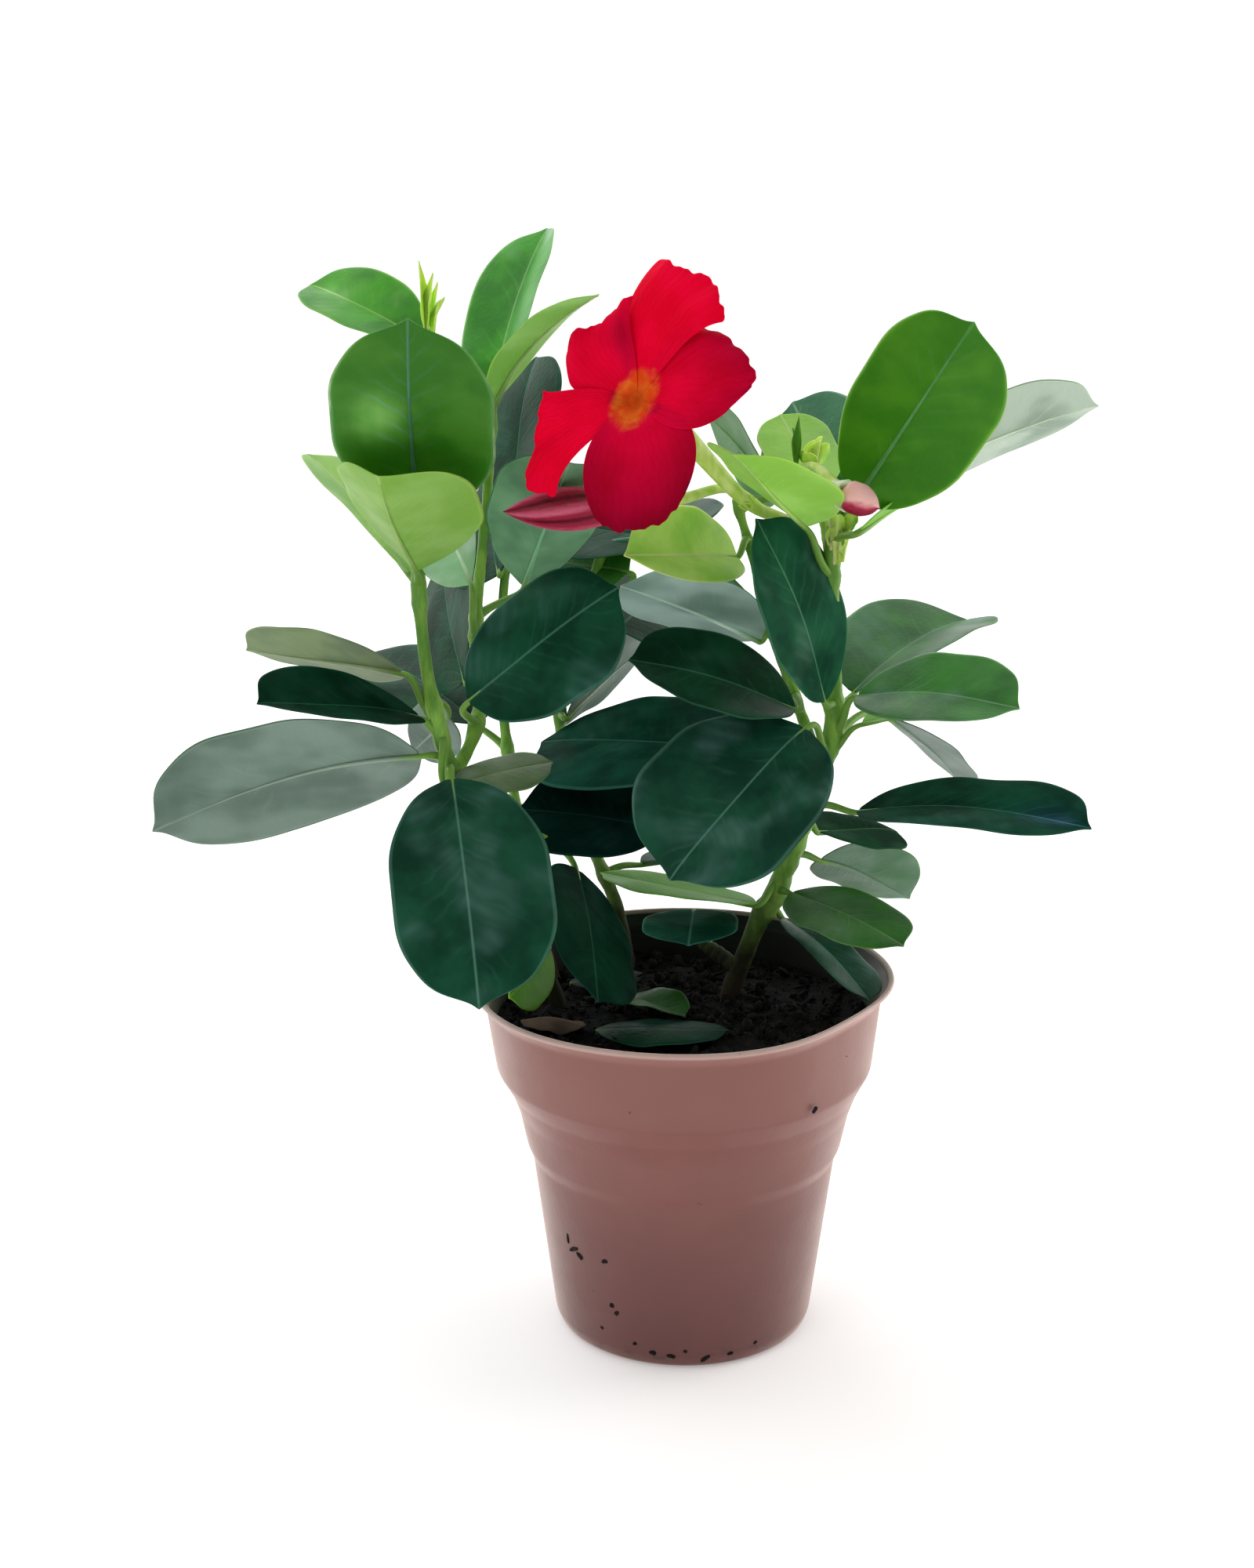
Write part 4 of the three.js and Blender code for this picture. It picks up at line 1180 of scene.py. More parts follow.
@dataclass(frozen=True)
class Leaf:
    """One leaf: its node's name, its stem and the height where it leaves it, the foot of its blade, the blade's
    turn and size, its bend and fold, how it looks, what its colour is multiplied by, which is partly painted light
    and shade, and where along and across it a patch of painted sheen lies and how strong that is."""

    name: str
    stem: str
    node: float
    base: Point
    turn: Point
    size: Pair
    bend: float
    fold: float
    look: LeafLook
    tint: Point = (1, 1, 1)
    sheen: Point = (0.5, 0, 0)


def leaves(side: str, rows: Sequence[tuple]) -> list[Leaf]:
    """Leaves of one side of the plant, numbered from one in the order of their rows."""
    return [Leaf(f"leaf_{side}_{number}", *row) for number, row in enumerate(rows, 1)]


# Each row: its stem, the height of its node, the foot of its blade, its turn, size, bend, fold and look, and where
# they aren't plain, its tint, which is partly painted light and shade, and its patch of painted sheen.
LEAVES = [
    *leaves("left", [
        ("left", 281, (-71, 5, 281), (139, 16, 26), (45, 25), 20, 18, FRESH, (1.6, 1.9, 0.8), (0.8, 0, 1.6)),
        ("left", 241, (-71, -14, 240.5), (-89, 64, 7), (57, 44), -29, -7, BACKLIT, (1.1, 0.98, 1), (0.52, -0.42, 4)),
        ("leftSide", 257, (-53, 24, 262), (63, 55, 23), (56, 33), 24, 20, FRESH, (1.7, 1.9, 1.5)),
        ("leftSide", 255, (-52, 14, 264), (-46, 37, -6), (52, 20), 34, 13, YOUNG, (1.2, 1.15, 1.7)),
        ("left", 218, (-72, -14, 223), (-99, 40, 9), (48, 45), -14, 32, YOUNG),
        ("left", 214, (-75, 2, 219), (140, 36, -10), (49, 30), 15, 20, YOUNG, (1.7, 1.3, 3.4)),
        ("leftSide", 200, (-59, 3, 216), (-105, 45, -60), (37, 22), 2, 20, FRESH, (3, 2.5, 3.4)),
        ("leftSide", 205, (-45, 20, 212), (-70, 45, 17), (57, 35), 8, 26, MATURE, (2, 2.3, 1.8)),
        ("leftSide", 177, (-59, -12, 187), (3, 37, -41), (51, 43), 12, 1, MATURE, (0.95, 1.35, 1.35)),
        ("left", 181, (-77, -8, 194), (153, 1, -37), (51, 33), 4, 10, STRAW, (0.9, 1, 0.9)),
        ("left", 177, (-72, -14, 183), (-142, 13, 15), (51, 34), 15, 14, DARK, (0.9, 1.3, 1)),
        ("left", 170, (-72, -16, 173), (172, -18, -56), (81, 44), 32, 6, SILVER, (0.9, 0.95, 0.92)),
        ("left", 176, (-64, -18, 165), (15, 9, -12), (29, 21), 4, 2, OLIVE, (0.75, 0.85, 0.6)),
        ("left", 167, (-63, -22, 168), (-78, -50, -4), (66, 44), 29, 7, MATURE, (1.4, 1.5, 1.6)),
        ("left", 145, (-30, -2, 136), (-82, -28, 45), (49, 38), 9, 4, DARK, (0.6, 1, 0.8)),
        ("left", 112, (-38, 0, 112), (-108, -5, 70), (33, 18), 9, 8, YOUNG),
        ("left", 185, (-65, -2, 180), (118, -32, -66), (31, 19), 15, 12, SILVER),
    ]),
    *leaves("middle", [
        ("rightSide", 224, (14, 18, 220.5), (-137, 8, 50), (43, 29), 6, 30, YOUNG, (2.3, 1.6, 3.6)),
        ("rightSide", 199, (21, 22, 196), (-159, 24, -32), (46, 38), 11, 10, SILVER, (2.4, 2.4, 2.6)),
        ("rightSide", 181, (30, 3, 181), (-173, 18, 23), (49, 38), 19, 13, MATURE, (0.9, 1.2, 1.1)),
        ("rightSide", 202, (22, 26, 201), (113, 6, -49), (40, 26), 10, 12, FRESH),
        ("right", 167, (32, -7, 178), (-147, -39, 19), (57, 57), 22, 12, MATURE, (1.5, 1.5, 1.7)),
        ("right", 163, (15, 3, 169), (148, -6, 17), (67, 55), 13, 2, DARK, (2.6, 3, 3.1)),
        ("right", 140, (-6, 6, 145), (166, 4, 24), (43, 42), 17, 9, DARK, (0.5, 0.7, 0.85)),
        ("right", 128, (20, 4, 124), (160, 5, -9), (47, 32), -1, 4, YOUNG, (0.6, 0.8, 0.4)),
        ("rightLow", 104, (3, 22, 116), (-94, 1, -1), (32, 28), 12, 5, DARK, (2.8, 3.8, 3.8)),
    ]),
    *leaves("right", [
        ("right", 234, (45, 7, 237), (-51, 51, 66), (67, 41), 0, 16, BACKLIT, (1.15, 1.05, 0.5)),
        ("right", 228, (55, 31, 235), (21, 18, 47), (73, 37), 25, 13, SILVER, (2.3, 2.1, 2)),
        ("right", 222, (44, 28, 233), (109, 33, 45), (45, 34), 5, 3, SILVER, (1.3, 1.6, 1.5)),
        ("rightTop", 238, (37, 18, 239), (107, 27, 11), (37, 22), 4, 7, YOUNG, (1.5, 1.4, 2)),
        ("rightSide", 232, (25, 34, 236), (117, 24, -66), (44, 32), 7, 0, FRESH, (0.9, 1.1, 0.8)),
        ("right", 216, (32, 2, 232), (-125, 33, 5), (44, 39), 0, 19, YOUNG, (1.3, 1.3, 1.2)),
        ("right", 226, (46, 0, 231), (51, 9, 36), (35, 19), 11, 9, YOUNG, (0.9, 1.1, 0.8)),
        ("right", 180, (38, 0, 184), (-172, 68.5, 41), (55, 40), 18, 9, DARK, (3.6, 3.8, 2.9)),
        ("right", 174, (48, 26, 180), (48, 12, 1), (58, 48), 28, 19, FRESH, (0.8, 0.9, 1.2)),
        ("right", 172, (47, 2, 185), (-31, 3, -20), (48, 36), 21, 14, FRESH, (1.2, 1.2, 1.8)),
        ("right", 168, (60, 36, 170), (52, -35, -13), (48, 28), 13, 8, SILVER),
        ("right", 151, (48, 2, 152), (-29, 4, -7), (68, 40), 21, 10, DARK, (1.6, 2.2, 1.9), (0.86, 0, 0.9)),
        ("right", 147, (38, 12, 143), (44, -12, -14), (35, 25), 9, 1, DARK, (2, 2, 1.4)),
        ("right", 135, (39, 17, 133), (36, -28, 41), (40, 27), 22, 16, FRESH, (0.8, 0.8, 1)),
        ("right", 125, (30, 2, 128), (-45, -8, -5), (41, 30), 13, 4, FRESH, (0.8, 0.8, 0.8)),
        ("right", 120, (29, 14, 116), (-52, -22, 18), (39, 26), 23, 9, MATURE, (1, 1.2, 1.2)),
        ("right", 165, (49, 7, 176), (4, 8, 0), (28, 18), 14, 8, YOUNG),
    ]),
]

# The rear leaves are tinted greener and darker to offset the pale sheen that they catch: painted shade.
REAR_TINT = (0.55, 1.05, 0.8)
REAR_SHOOTS = {
    "middle": leaves("middle_shoot", [
        ("middle", 217, (-5, 46, 220), (150, 2, 20), (52, 40), 8, 5, MATURE, REAR_TINT),
        ("middle", 194, (-16, 40, 212), (130, -3, 52), (33, 24), 4, 4, FRESH),
        ("middle", 215, (4, 60, 221), (106, -4, 20), (40, 29), 6, 5, MATURE, REAR_TINT),
        ("middle", 168, (-34, 40, 169), (58, 14, 58), (47, 35), 19, 8, SILVER),
        ("middle", 193, (-19, 46, 194), (74, 2, -35), (44, 40), 8, 5, MATURE, REAR_TINT),
        ("middle", 140, (-22, 50, 145), (70, 6, 10), (58, 42), 20, 8, MATURE, REAR_TINT),
        ("middle", 120, (-12, 48, 122), (20, -6, 10), (50, 36), 20, 8, MATURE, REAR_TINT),
    ]),
    "back": leaves("back_shoot", [
        ("back", 231, (-49, 42, 235), (73, 58, 42), (42, 41), 11, 5, MATURE, REAR_TINT),
        ("back", 213, (-53, 36, 212), (98, 22, 49), (50, 39), 4, 4, MATURE, REAR_TINT),
        ("back", 186, (-63, 30, 182), (100, 31, 71), (57, 41), 11, 7, MATURE, REAR_TINT),
        ("back", 160, (-60, 44, 166), (130, 10, 5), (60, 42), 22, 8, MATURE, REAR_TINT),
        ("back", 130, (-52, 42, 134), (105, -8, -10), (56, 38), 24, 8, MATURE, REAR_TINT),
    ]),
}


@dataclass
class LeafMaker:
    """Grows leaves: one flat blade is modelled once, and each leaf is a copy of it, bent to its own form."""

    rows: int = 34
    columns: int = 12
    thickness: float = 0.45
    petiole: float = 1.1
    petiole_out: float = 0.4
    petiole_rise: float = 0.25
    petiole_end: float = 0.35
    stalk_fade: float = 9.0
    painted_highlight: Point = (1.0, 0.42, 2.0)
    painted_highlight_spread: Pair = (0.13, 0.32)
    rib_end: float = 0.93
    rib_inset: float = 0.14
    flat: bpy.types.Object = field(init=False)

    def __post_init__(self) -> None:
        """Model the flat blade, with its columns closer together near the midrib."""
        self.flat = grid("flat_blade", self.rows, self.columns)
        local = places(self.flat)
        share = 0.5 - 0.5 * np.cos(math.pi * (local[:, 0] + 1) / 2)
        self.share = 0.55 * share + 0.45 * (local[:, 0] + 1) / 2
        self.side = np.sign(local[:, 1]) * np.abs(local[:, 1])**1.4

    def blade(self, form: Blade, look: LeafLook, tint: Point = (1, 1, 1), sheen: Point = (0.5, 0, 0)
              ) -> bpy.types.Object:
        """A blade with both its faces.

        Args:
            form: Its place and form.
            look: Its finish.
            tint: What its colour is multiplied by, which is partly painted light and shade.
            sheen: Where along and across it a patch of painted sheen lies, and how strong that is.

        Returns:
            The blade as a closed thin solid.
        """
        piece = copy_of(self.flat, "blade")
        points, measures = form.surface(self.share, self.side)
        put(piece, points)
        carry(piece, "leaf", measures)
        # Painted sheen: the tint is raised in a soft patch on the blade.
        along, across, strength = sheen
        far, wide = self.painted_highlight_spread
        patch = strength * np.exp(-((self.share - along) / far)**2 - ((self.side - across) / wide)**2)
        carry(piece, "tint", np.array(tint) * (1 + patch[:, None] * self.painted_highlight))
        paint(piece, *Paints.leaf(look))
        return thicken(piece, self.thickness)

    def rib(self, form: Blade, look: LeafLook, tint: Point, root: np.ndarray | None) -> bpy.types.Object:
        """The leaf stalk and the midrib under the blade, as one tapering rod.

        Args:
            form: The blade's form.
            look: Its finish.
            tint: What the midrib's colour is multiplied by.
            root: Where the stalk leaves the stem, or None where the blade has no stalk.

        Returns:
            The rod.
        """
        share = np.linspace(0.0, self.rib_end, 30)
        _, normal = form.spine(share)
        middle, _ = form.surface(share, np.zeros(len(share)))
        radius = self.petiole * min(1.0, form.length / 34)
        under = radius * (1 - share / self.rib_end)**1.3 * 0.62 + self.rib_inset
        path = middle - normal * (0.4 * under + self.rib_inset * np.minimum(1, share * 8))[:, None]
        radii = under
        if root is not None:
            along, _, up = form.axes
            start = math.radians(form.bend) / 2
            leaving = along * math.cos(start) + up * math.sin(start)
            span = float(np.linalg.norm(form.base - root))
            level = (form.base - root) * (1, 1, 0)
            outward = root + unit(level) * self.petiole_out * span + np.array([0, 0, self.petiole_rise * span])
            stalk = bezier([root, outward, form.base - leaving * self.petiole_end * span, path[0]], 18)[:-1]
            swell = np.linspace(0, 1, len(stalk))
            grown = radius * (1.0 + 0.35 * np.exp(-(swell / 0.18)**2))
            grown = grown + (under[0] - radius) * swell**3
            path, radii = np.vstack([stalk, path]), np.r_[grown, under]
        piece = rod("rib", path, radii)
        beyond = ((places(piece) / MM - form.base) @ form.axes[0] / self.stalk_fade).clip(0, 1)
        carry(piece, "leaf", np.c_[beyond, beyond, beyond])
        carry(piece, "tint", np.tile(tint, (len(beyond), 1)))
        return dress(piece, Paints.leaf(look)[2])

    def grow(self, leaf: Leaf, seed: int) -> list[bpy.types.Object]:
        """A leaf's blade and its stalk, ready to join."""
        form = Blade(np.array(leaf.base, float), blade_axes(leaf.turn), *leaf.size, leaf.bend, leaf.fold, seed)
        root = STEMS[leaf.stem].at(leaf.node)
        return [self.blade(form, leaf.look, leaf.tint, leaf.sheen), self.rib(form, leaf.look, leaf.tint, root)]

    def leaflet(self, base: Point, turn: Point, size: Pair, ripple: float, look: LeafLook, tint: Point
                ) -> bpy.types.Object:
        """A small blade without a stalk, as at a growing tip: pointed, or blunt where it is a broad bract."""
        fullness = BRACT if size[1] > 0.55 * size[0] else LANCE
        form = Blade(np.array(base, float), blade_axes(turn), *size, 10, 34, int(size[0]), ripple, fullness)
        return self.blade(form, look, tint)


@dataclass
class Foliage:
    """All leaves that are pieces of their own."""

    maker: LeafMaker
    first_seed: int = 100

    def build(self) -> None:
        """Grow the leaves and let them stand for their nodes."""
        for number, leaf in enumerate(LEAVES):
            parts = self.maker.grow(leaf, self.first_seed + number)
            piece = join(f"{leaf.name}_grown", parts)
            hand_in(piece, next(p["material_slot"] for p in frame["record"]["subparts"] if p["node"] == leaf.name),
                    leaf.name)


Leaflet = tuple[Point, Point, Pair, float]


@dataclass
class Vines:
    """The stems with their growing tips, and the two rear shoots with their leaves."""

    maker: LeafMaker
    left_tip: Sequence[Leaflet] = (
        ((-69.2, -1, 284), (170, 86, 40), (18.5, 3.6), 0.4), ((-68.6, -1.5, 284), (10, 84, -30), (15.5, 4.6), 3.0),
        ((-67.6, 0, 285), (40, 80, 10), (12, 3.6), 4.0), ((-66.9, -1.5, 288), (-10, 60, 40), (6, 3), 4.0),
        ((-67, -2, 284), (-20, 80, -60), (8, 4), 4.0),
    )
    right_stub: Sequence[Leaflet] = (
        ((29.6, 12, 247), (-60, 86, 20), (13.5, 3.2), 5.0), ((29.6, 12.6, 248), (120, 80, -30), (9, 3), 5.0),
    )
    right_tip: Sequence[Leaflet] = (
        ((34, 13, 246.5), (10, 72, 10), (8.5, 6.5), 4.0), ((35, 12, 246.5), (-60, 76, -20), (7.5, 6.2), 5.0),
        ((33, 14, 246), (60, 60, 30), (8, 6), 4.0), ((33.4, 11.6, 246), (-110, 54, 0), (6, 5), 5.0),
        ((35.4, 12.4, 246.6), (-10, 66, 60), (7, 5), 5.0),
    )
    bracts: Sequence[Leaflet] = (
        ((41.6, 9.2, 224), (-60, 80, 10), (9.5, 8), 5.0), ((43, 10.4, 225), (5, 70, -20), (9.5, 7.5), 5.0),
        ((39.6, 9.8, 224), (-130, 80, 0), (10, 8), 5.0), ((43.6, 9.6, 228), (-40, 66, 30), (7, 5.5), 5.0),
        ((41, 8.4, 228), (-95, 68, 0), (7, 5.5), 5.0), ((42.8, 10.6, 220.5), (-20, 78, 10), (7.5, 5), 4.0),
        ((40.4, 9.8, 220), (-110, 80, 0), (7, 5), 4.0),
    )
    rear_seed: int = 300
    rear_step: int = 20
    # Painted light: the tips and bracts are brightened where they stand in shade.
    tip_painted_light: Point = (1.15, 1.15, 1.3)
    stub_tint: Point = (0.3, 0.5, 0.25)

    def tips(self, rows: Sequence[Leaflet], look: LeafLook = TIP, tint: Point | None = None
             ) -> list[bpy.types.Object]:
        """Leaflets at a growing tip."""
        return [self.maker.leaflet(*row, look, tint or self.tip_painted_light) for row in rows]

    def stem(self, name: str) -> bpy.types.Object:
        """One stem with its nodes and its skin."""
        nodes = [STEMS[name].points[0][2]] + [leaf.node for leaf in LEAVES if leaf.stem == name]
        nodes += [leaf.node for leaf in REAR_SHOOTS.get(name, [])]
        return dress(STEMS[name].skin(f"{name}_skin", nodes), Paints.plain(STEM))

    def build(self) -> None:
        """Make the vines and let them stand for their nodes."""
        left = [self.stem("left"), self.stem("leftSide"), *self.tips(self.left_tip)]
        right = [self.stem(name) for name in ("right", "rightLow", "rightSide", "rightTop")]
        right += self.tips(self.right_tip) + self.tips(self.bracts)
        right += self.tips(self.right_stub, YOUNG, self.stub_tint)
        hand_in(join("left_vine", left), "stem_green", "stem_left")
        hand_in(join("right_vine", right), "stem_green", "stem_right")
        for name, leaves in REAR_SHOOTS.items():
            parts = [self.stem(name)]
            for number, leaf in enumerate(leaves):
                parts += self.maker.grow(leaf, self.rear_seed + self.rear_step * len(name) + number)
            hand_in(join(f"{name}_vine", parts), "leaf_mature", f"shoot_{name}")


# ---- Flowers ------------------------------------------------------------------------------------------------------


@dataclass(frozen=True)
class Lobe:
    """A petal in the limb's plane: the angles that its root spans, then the angle and reach of five places half
    way out and of five on its far edge, and how far that edge leans out of the plane."""

    root: Pair
    lean: float
    middle: Sequence[Pair]
    edge: Sequence[Pair]


@dataclass
class Corolla:
    """The open flower: a throat with five broad lobes that overlap like a pinwheel."""

    throat: Point = (-14.7, -30, 270.3)
    facing: Pair = (-117, 14)
    lobe_root: float = 1.8
    swell: float = 2.4
    sink: float = 1.2
    overlap: float = 1.5
    throat_depth: float = 3.6
    throat_share: float = 0.2
    throat_lean: float = -1.6
    thickness: float = 0.5
    # Painted light and shade: each lobe is brightened or darkened near the throat and at its edge, and darkened in its
    # fold.
    shades: Sequence[Pair] = ((1, 1.05), (1, 0.5), (0.92, 0.3), (1.05, 1.15), (0.92, 0.92))
    fold_shades: Sequence[float] = (0.0, 0.1, 0.1, 0.1, 0.4)
    throat_stretch: float = 0.2
    lobes: Sequence[Lobe] = (
        Lobe((44, 126), -4, ((48, 19), (62, 20), (75, 21), (90, 21), (108, 19)),
             ((43, 30), (54, 34), (66, 35), (78, 35), (90, 36))),
        Lobe((-40, 72), -5, ((-24, 17), (-3, 20), (18, 21), (40, 20), (62, 18)),
             ((4, 27), (10, 31), (20, 32), (36, 28), (57, 23))),
        Lobe((-142, -8), -2, ((-131, 16), (-106, 19), (-78, 20), (-50, 17), (-14, 15)),
             ((-103, 32.5), (-93, 33.5), (-80, 33.5), (-67, 31.5), (-53, 28.5))),
        Lobe((-200, -128), 2, ((-183, 18), (-170, 19), (-158, 20), (-146, 20), (-133, 19)),
             ((-181, 24), (-165, 25), (-150, 30), (-136, 36), (-124, 32))),
        Lobe((84, 200), -1, ((97, 17), (118, 16), (140, 16), (160, 17), (178, 16)),
             ((94, 26), (110, 23), (127, 22), (143, 25), (172, 18))),
    )

    def axes(self) -> np.ndarray:
        """Rows: right and above in the limb's plane, and out of it."""
        out = heading(*(math.radians(value) for value in self.facing))
        right = unit(np.cross((0, 0, 1), out))
        return np.array([right, np.cross(out, right), out])

    def lobe(self, shape: Lobe, number: int) -> bpy.types.Object:
        """One petal, with a ragged far edge and fine furrows along it."""
        piece = grid("petal", 26, 26)
        local = places(piece)
        share, across = ((local[:, 0] + 1) / 2)**1.25, (local[:, 1] + 1) / 2
        column = across * 4
        quarter = range(5)
        first, half, last = (1 - share) * (1 - 2 * share), 4 * share * (1 - share), share * (2 * share - 1)
        middle_angle = through(quarter, [a for a, _ in shape.middle], column)
        edge_angle = through(quarter, [a for a, _ in shape.edge], column)
        angle = first * (shape.root[0] + (shape.root[1] - shape.root[0]) * across)
        angle = np.radians(angle + half * middle_angle + last * edge_angle)
        ragged = 0.8 * np.sin(across * 23 + number * 2.1) * np.sin(across * 9 + number) + 0.45 * np.sin(across * 61)
        reach = first * self.lobe_root + half * through(quarter, [r for _, r in shape.middle], column)
        reach = reach + last * through(quarter, [r for _, r in shape.edge], column) + ragged * share**6
        rise = self.swell * np.sin(share * math.pi * 0.6) + shape.lean * share**2 - self.sink
        rise = rise + self.overlap * (0.5 - across) * (0.4 + share) * np.minimum(1, share * 6)
        rise = rise + 0.7 * share**2 * np.sin(across * 11 + number * 1.7)
        rise = rise + 0.3 * share * np.sin(across * 21 + number + share * 3)
        narrowing = (1 - np.minimum(1, share / self.throat_share))**2
        rise = rise - self.throat_depth * narrowing
        right, above, out = self.axes()
        points = np.array(self.throat) + right * (reach * np.cos(angle) + self.throat_lean * narrowing)[:, None]
        points = points + above * (reach * np.sin(angle))[:, None] + out * rise[:, None]
        put(piece, points)
        oval = reach * (1 - self.throat_stretch * np.cos(2 * angle - 2.1))
        carry(piece, "petal", np.c_[share, across + number * 0.37, oval])
        # Painted shade and light across the lobe, and painted shade in its fold.
        near, far = self.shades[number]
        shade = near + (far - near) * share
        shade = shade * (1 - self.fold_shades[number] * np.exp(-((across - 0.12) / 0.17)**2 - ((share - 0.5) / 0.3)**2))
        carry(piece, "tint", np.c_[shade, shade, shade * (2 - shade)])
        paint(piece, *Paints.petal())
        return thicken(piece, self.thickness)

    @staticmethod
    def stood(piece: bpy.types.Object, origin: Sequence[float], axis: np.ndarray) -> np.ndarray:
        """Turn a piece modelled about Z so that Z runs along axis from origin, and return its old points."""
        local = places(piece) / MM
        beside, other = square_to(axis, (0.2, 0.9, 0.3))
        put(piece, np.array(origin) + local[:, :1] * beside + local[:, 1:2] * other + local[:, 2:] * axis)
        return local

    def mouth(self) -> bpy.types.Object:
        """The throat's floor, where the petals run together."""
        profile = [(0, -11.7), (4.7, -11.6), (5.2, -6.4), (4.2, -4.4), (2.6, -4.1), (1.2, -4.4), (0, -4.6)]
        piece = turned("throat_floor", profile, 40)
        local = self.stood(piece, self.throat + self.axes()[0] * self.throat_lean, self.axes()[2])
        spin = np.arctan2(local[:, 1], local[:, 0]) / (2 * math.pi) * 5
        carry(piece, "petal", np.c_[np.zeros(len(spin)), spin, np.full(len(spin), 1.2)])
        carry(piece, "tint", np.ones((len(spin), 3)))
        return dress(piece, Paints.petal()[0])

    def build(self) -> None:
        """Make the open flower and let it stand for its node."""
        lobes = [self.lobe(shape, number) for number, shape in enumerate(self.lobes)]
        hand_in(join("open_flower", [self.mouth(), *lobes]), "petal_red", "corolla")


@dataclass
class Inflorescence:
    """The stalks and tubes, the furled flower and the bud."""

    maker: LeafMaker
    corolla: Corolla
    flower_path: Sequence[Point] = ((38, 14, 217), (31, 14, 229), (17, 8, 237), (3, 2, 252), (-6, -8, 263))
    furled_path: Sequence[Point] = ((25, 12, 231), (13, 13, 240), (-2, -2, 240), (-15, -13, 240))
    bud_path: Sequence[Point] = ((32, 13, 247), (35, 3, 247.4), (39.6, -6.8, 243))
    furled_foot: Point = (-16.1, -13.8, 240)
    furled_axis: Point = (-32, -5, -0.5)
    furled_profile: Sequence[Pair] = ((0, 0), (2.4, 0.2), (4.6, 7), (5.6, 15), (4.6, 23), (2.4, 29), (0, 33))
    bud_foot: Point = (40.8, -7.9, 242.2)
    bud_axis: Point = (9, -5, -2.6)
    bud_profile: Sequence[Pair] = ((0, 0), (2.5, 0.2), (4.4, 2.6), (4.4, 5.2), (2.8, 8.8), (0, 11))
    calyx_profile: Sequence[Pair] = ((0, -4.4), (2.4, -4.2), (3.1, -2.4), (3.9, -0.6), (4.3, 1.0), (4.1, 1.3),
                                     (3.2, 0.6), (0, -0.3))

    def stalk(self, name: str, path: Sequence[Point], foot: float, tip: float) -> bpy.types.Object:
        """A stalk that widens towards its flower."""
        line = smooth_path(path, 40)
        share = np.linspace(0, 1, len(line))
        radii = foot + (tip - foot) * share**2
        return dress(rod(name, line, radii, 4), Paints.plain(STALK))

    def rolled(self, name: str, foot: Point, axis: Point, profile: Sequence[Pair], folds: int, depth: float,
               start: float, twist: float, finish: RolledFinish) -> bpy.types.Object:
        """Petals rolled up about an axis, with folds that wind along it.

        Args:
            name: The piece's name.
            foot: The foot of the roll.
            axis: Which way it points.
            profile: Pairs of radius and distance along the axis.
            folds: How many folds it has round it.
            depth: How deep the folds are, as a share of the radius.
            start: How far round the first fold stands at the foot, in radians.
            twist: How far they wind along it, in radians.
            finish: Its finish.

        Returns:
            The rolled petals.
        """
        piece = ball(name, 60, 40)
        local = places(piece)
        share = 0.5 + np.arcsin(np.clip(local[:, 2], -1, 1)) / math.pi
        angle = np.arctan2(local[:, 1], local[:, 0])
        steps = np.linspace(0, 1, len(profile))
        radius = through(steps, [r for r, _ in profile], share).clip(0)
        along = through(steps, [d for _, d in profile], share)
        phase = angle * folds + start + twist * share
        ridge = 0.5 + 0.5 * np.cos(phase)
        sharp = ridge**0.6
        wound = radius * (1 - depth + depth * sharp + 0.05 * np.sin(2 * phase + 1) + 0.04 * np.sin(angle * 2 + 3))
        way = unit(np.array(axis, float))
        beside, other = square_to(way, (0.1, 0.2, 0.97))
        points = np.array(foot) + way * along[:, None] + beside * (wound * np.cos(angle))[:, None]
        put(piece, points + other * (wound * np.sin(angle))[:, None])
        carry(piece, "roll", np.c_[ridge, share, angle])
        with editing(piece):
            bpy.ops.mesh.normals_make_consistent(inside=False)
        return dress(piece, Paints.plain(finish))

    def sepals(self, foot: np.ndarray, axis: np.ndarray, reach: float, size: Pair, count: int = 5
               ) -> list[bpy.types.Object]:
        """Small pointed sepals that lie against the foot of a flower.

        Args:
            foot: The middle of the ring that they stand in.
            axis: Which way the flower points.
            reach: The ring's radius.
            size: Length and width of a sepal.
            count: How many there are.

        Returns:
            The sepals.
        """
        beside, other = square_to(axis, (0.1, 0.3, 0.95))
        grown = []
        for number in range(count):
            turn = 2 * math.pi * number / count
            out = beside * math.cos(turn) + other * math.sin(turn)
            along = unit(axis + 0.28 * out)
            across = unit(np.cross(out, along))
            up = np.cross(along, across)
            form = Blade(foot + out * reach * 0.8, np.array([along, across, up]), *size, 24, 25, number, 0.2, LANCE)
            grown.append(self.maker.blade(form, TIP))
        return grown

    def calyx(self) -> bpy.types.Object:
        """The pale cup that holds the bud, with five blunt teeth."""
        piece = turned("calyx", self.calyx_profile, 40)
        local = places(piece)
        spin = np.arctan2(local[:, 1], local[:, 0])
        teeth = np.clip(local[:, 2] / MM, 0, None)
        local[:, 2] += 1.2 * MM * teeth * np.cos(5 * spin)
        put(piece, local / MM)
        self.corolla.stood(piece, self.bud_foot, unit(np.array(self.bud_axis, float)))
        return dress(piece, Paints.plain(CALYX))

    def tube(self) -> bpy.types.Object:
        """The pale narrow tube behind the open flower."""
        profile = [(0, -27), (2.4, -26.6), (3.6, -24), (5, -19), (6.2, -13), (7.2, -8), (8.6, -3.4), (7.8, -3.4),
                   (6.4, -8), (5.4, -13), (4.2, -19), (0, -22)]
        piece = turned("flower_tube", profile, 32)
        self.corolla.stood(piece, self.corolla.throat, self.corolla.axes()[2])
        return dress(piece, Paints.plain(STALK), angle=60)

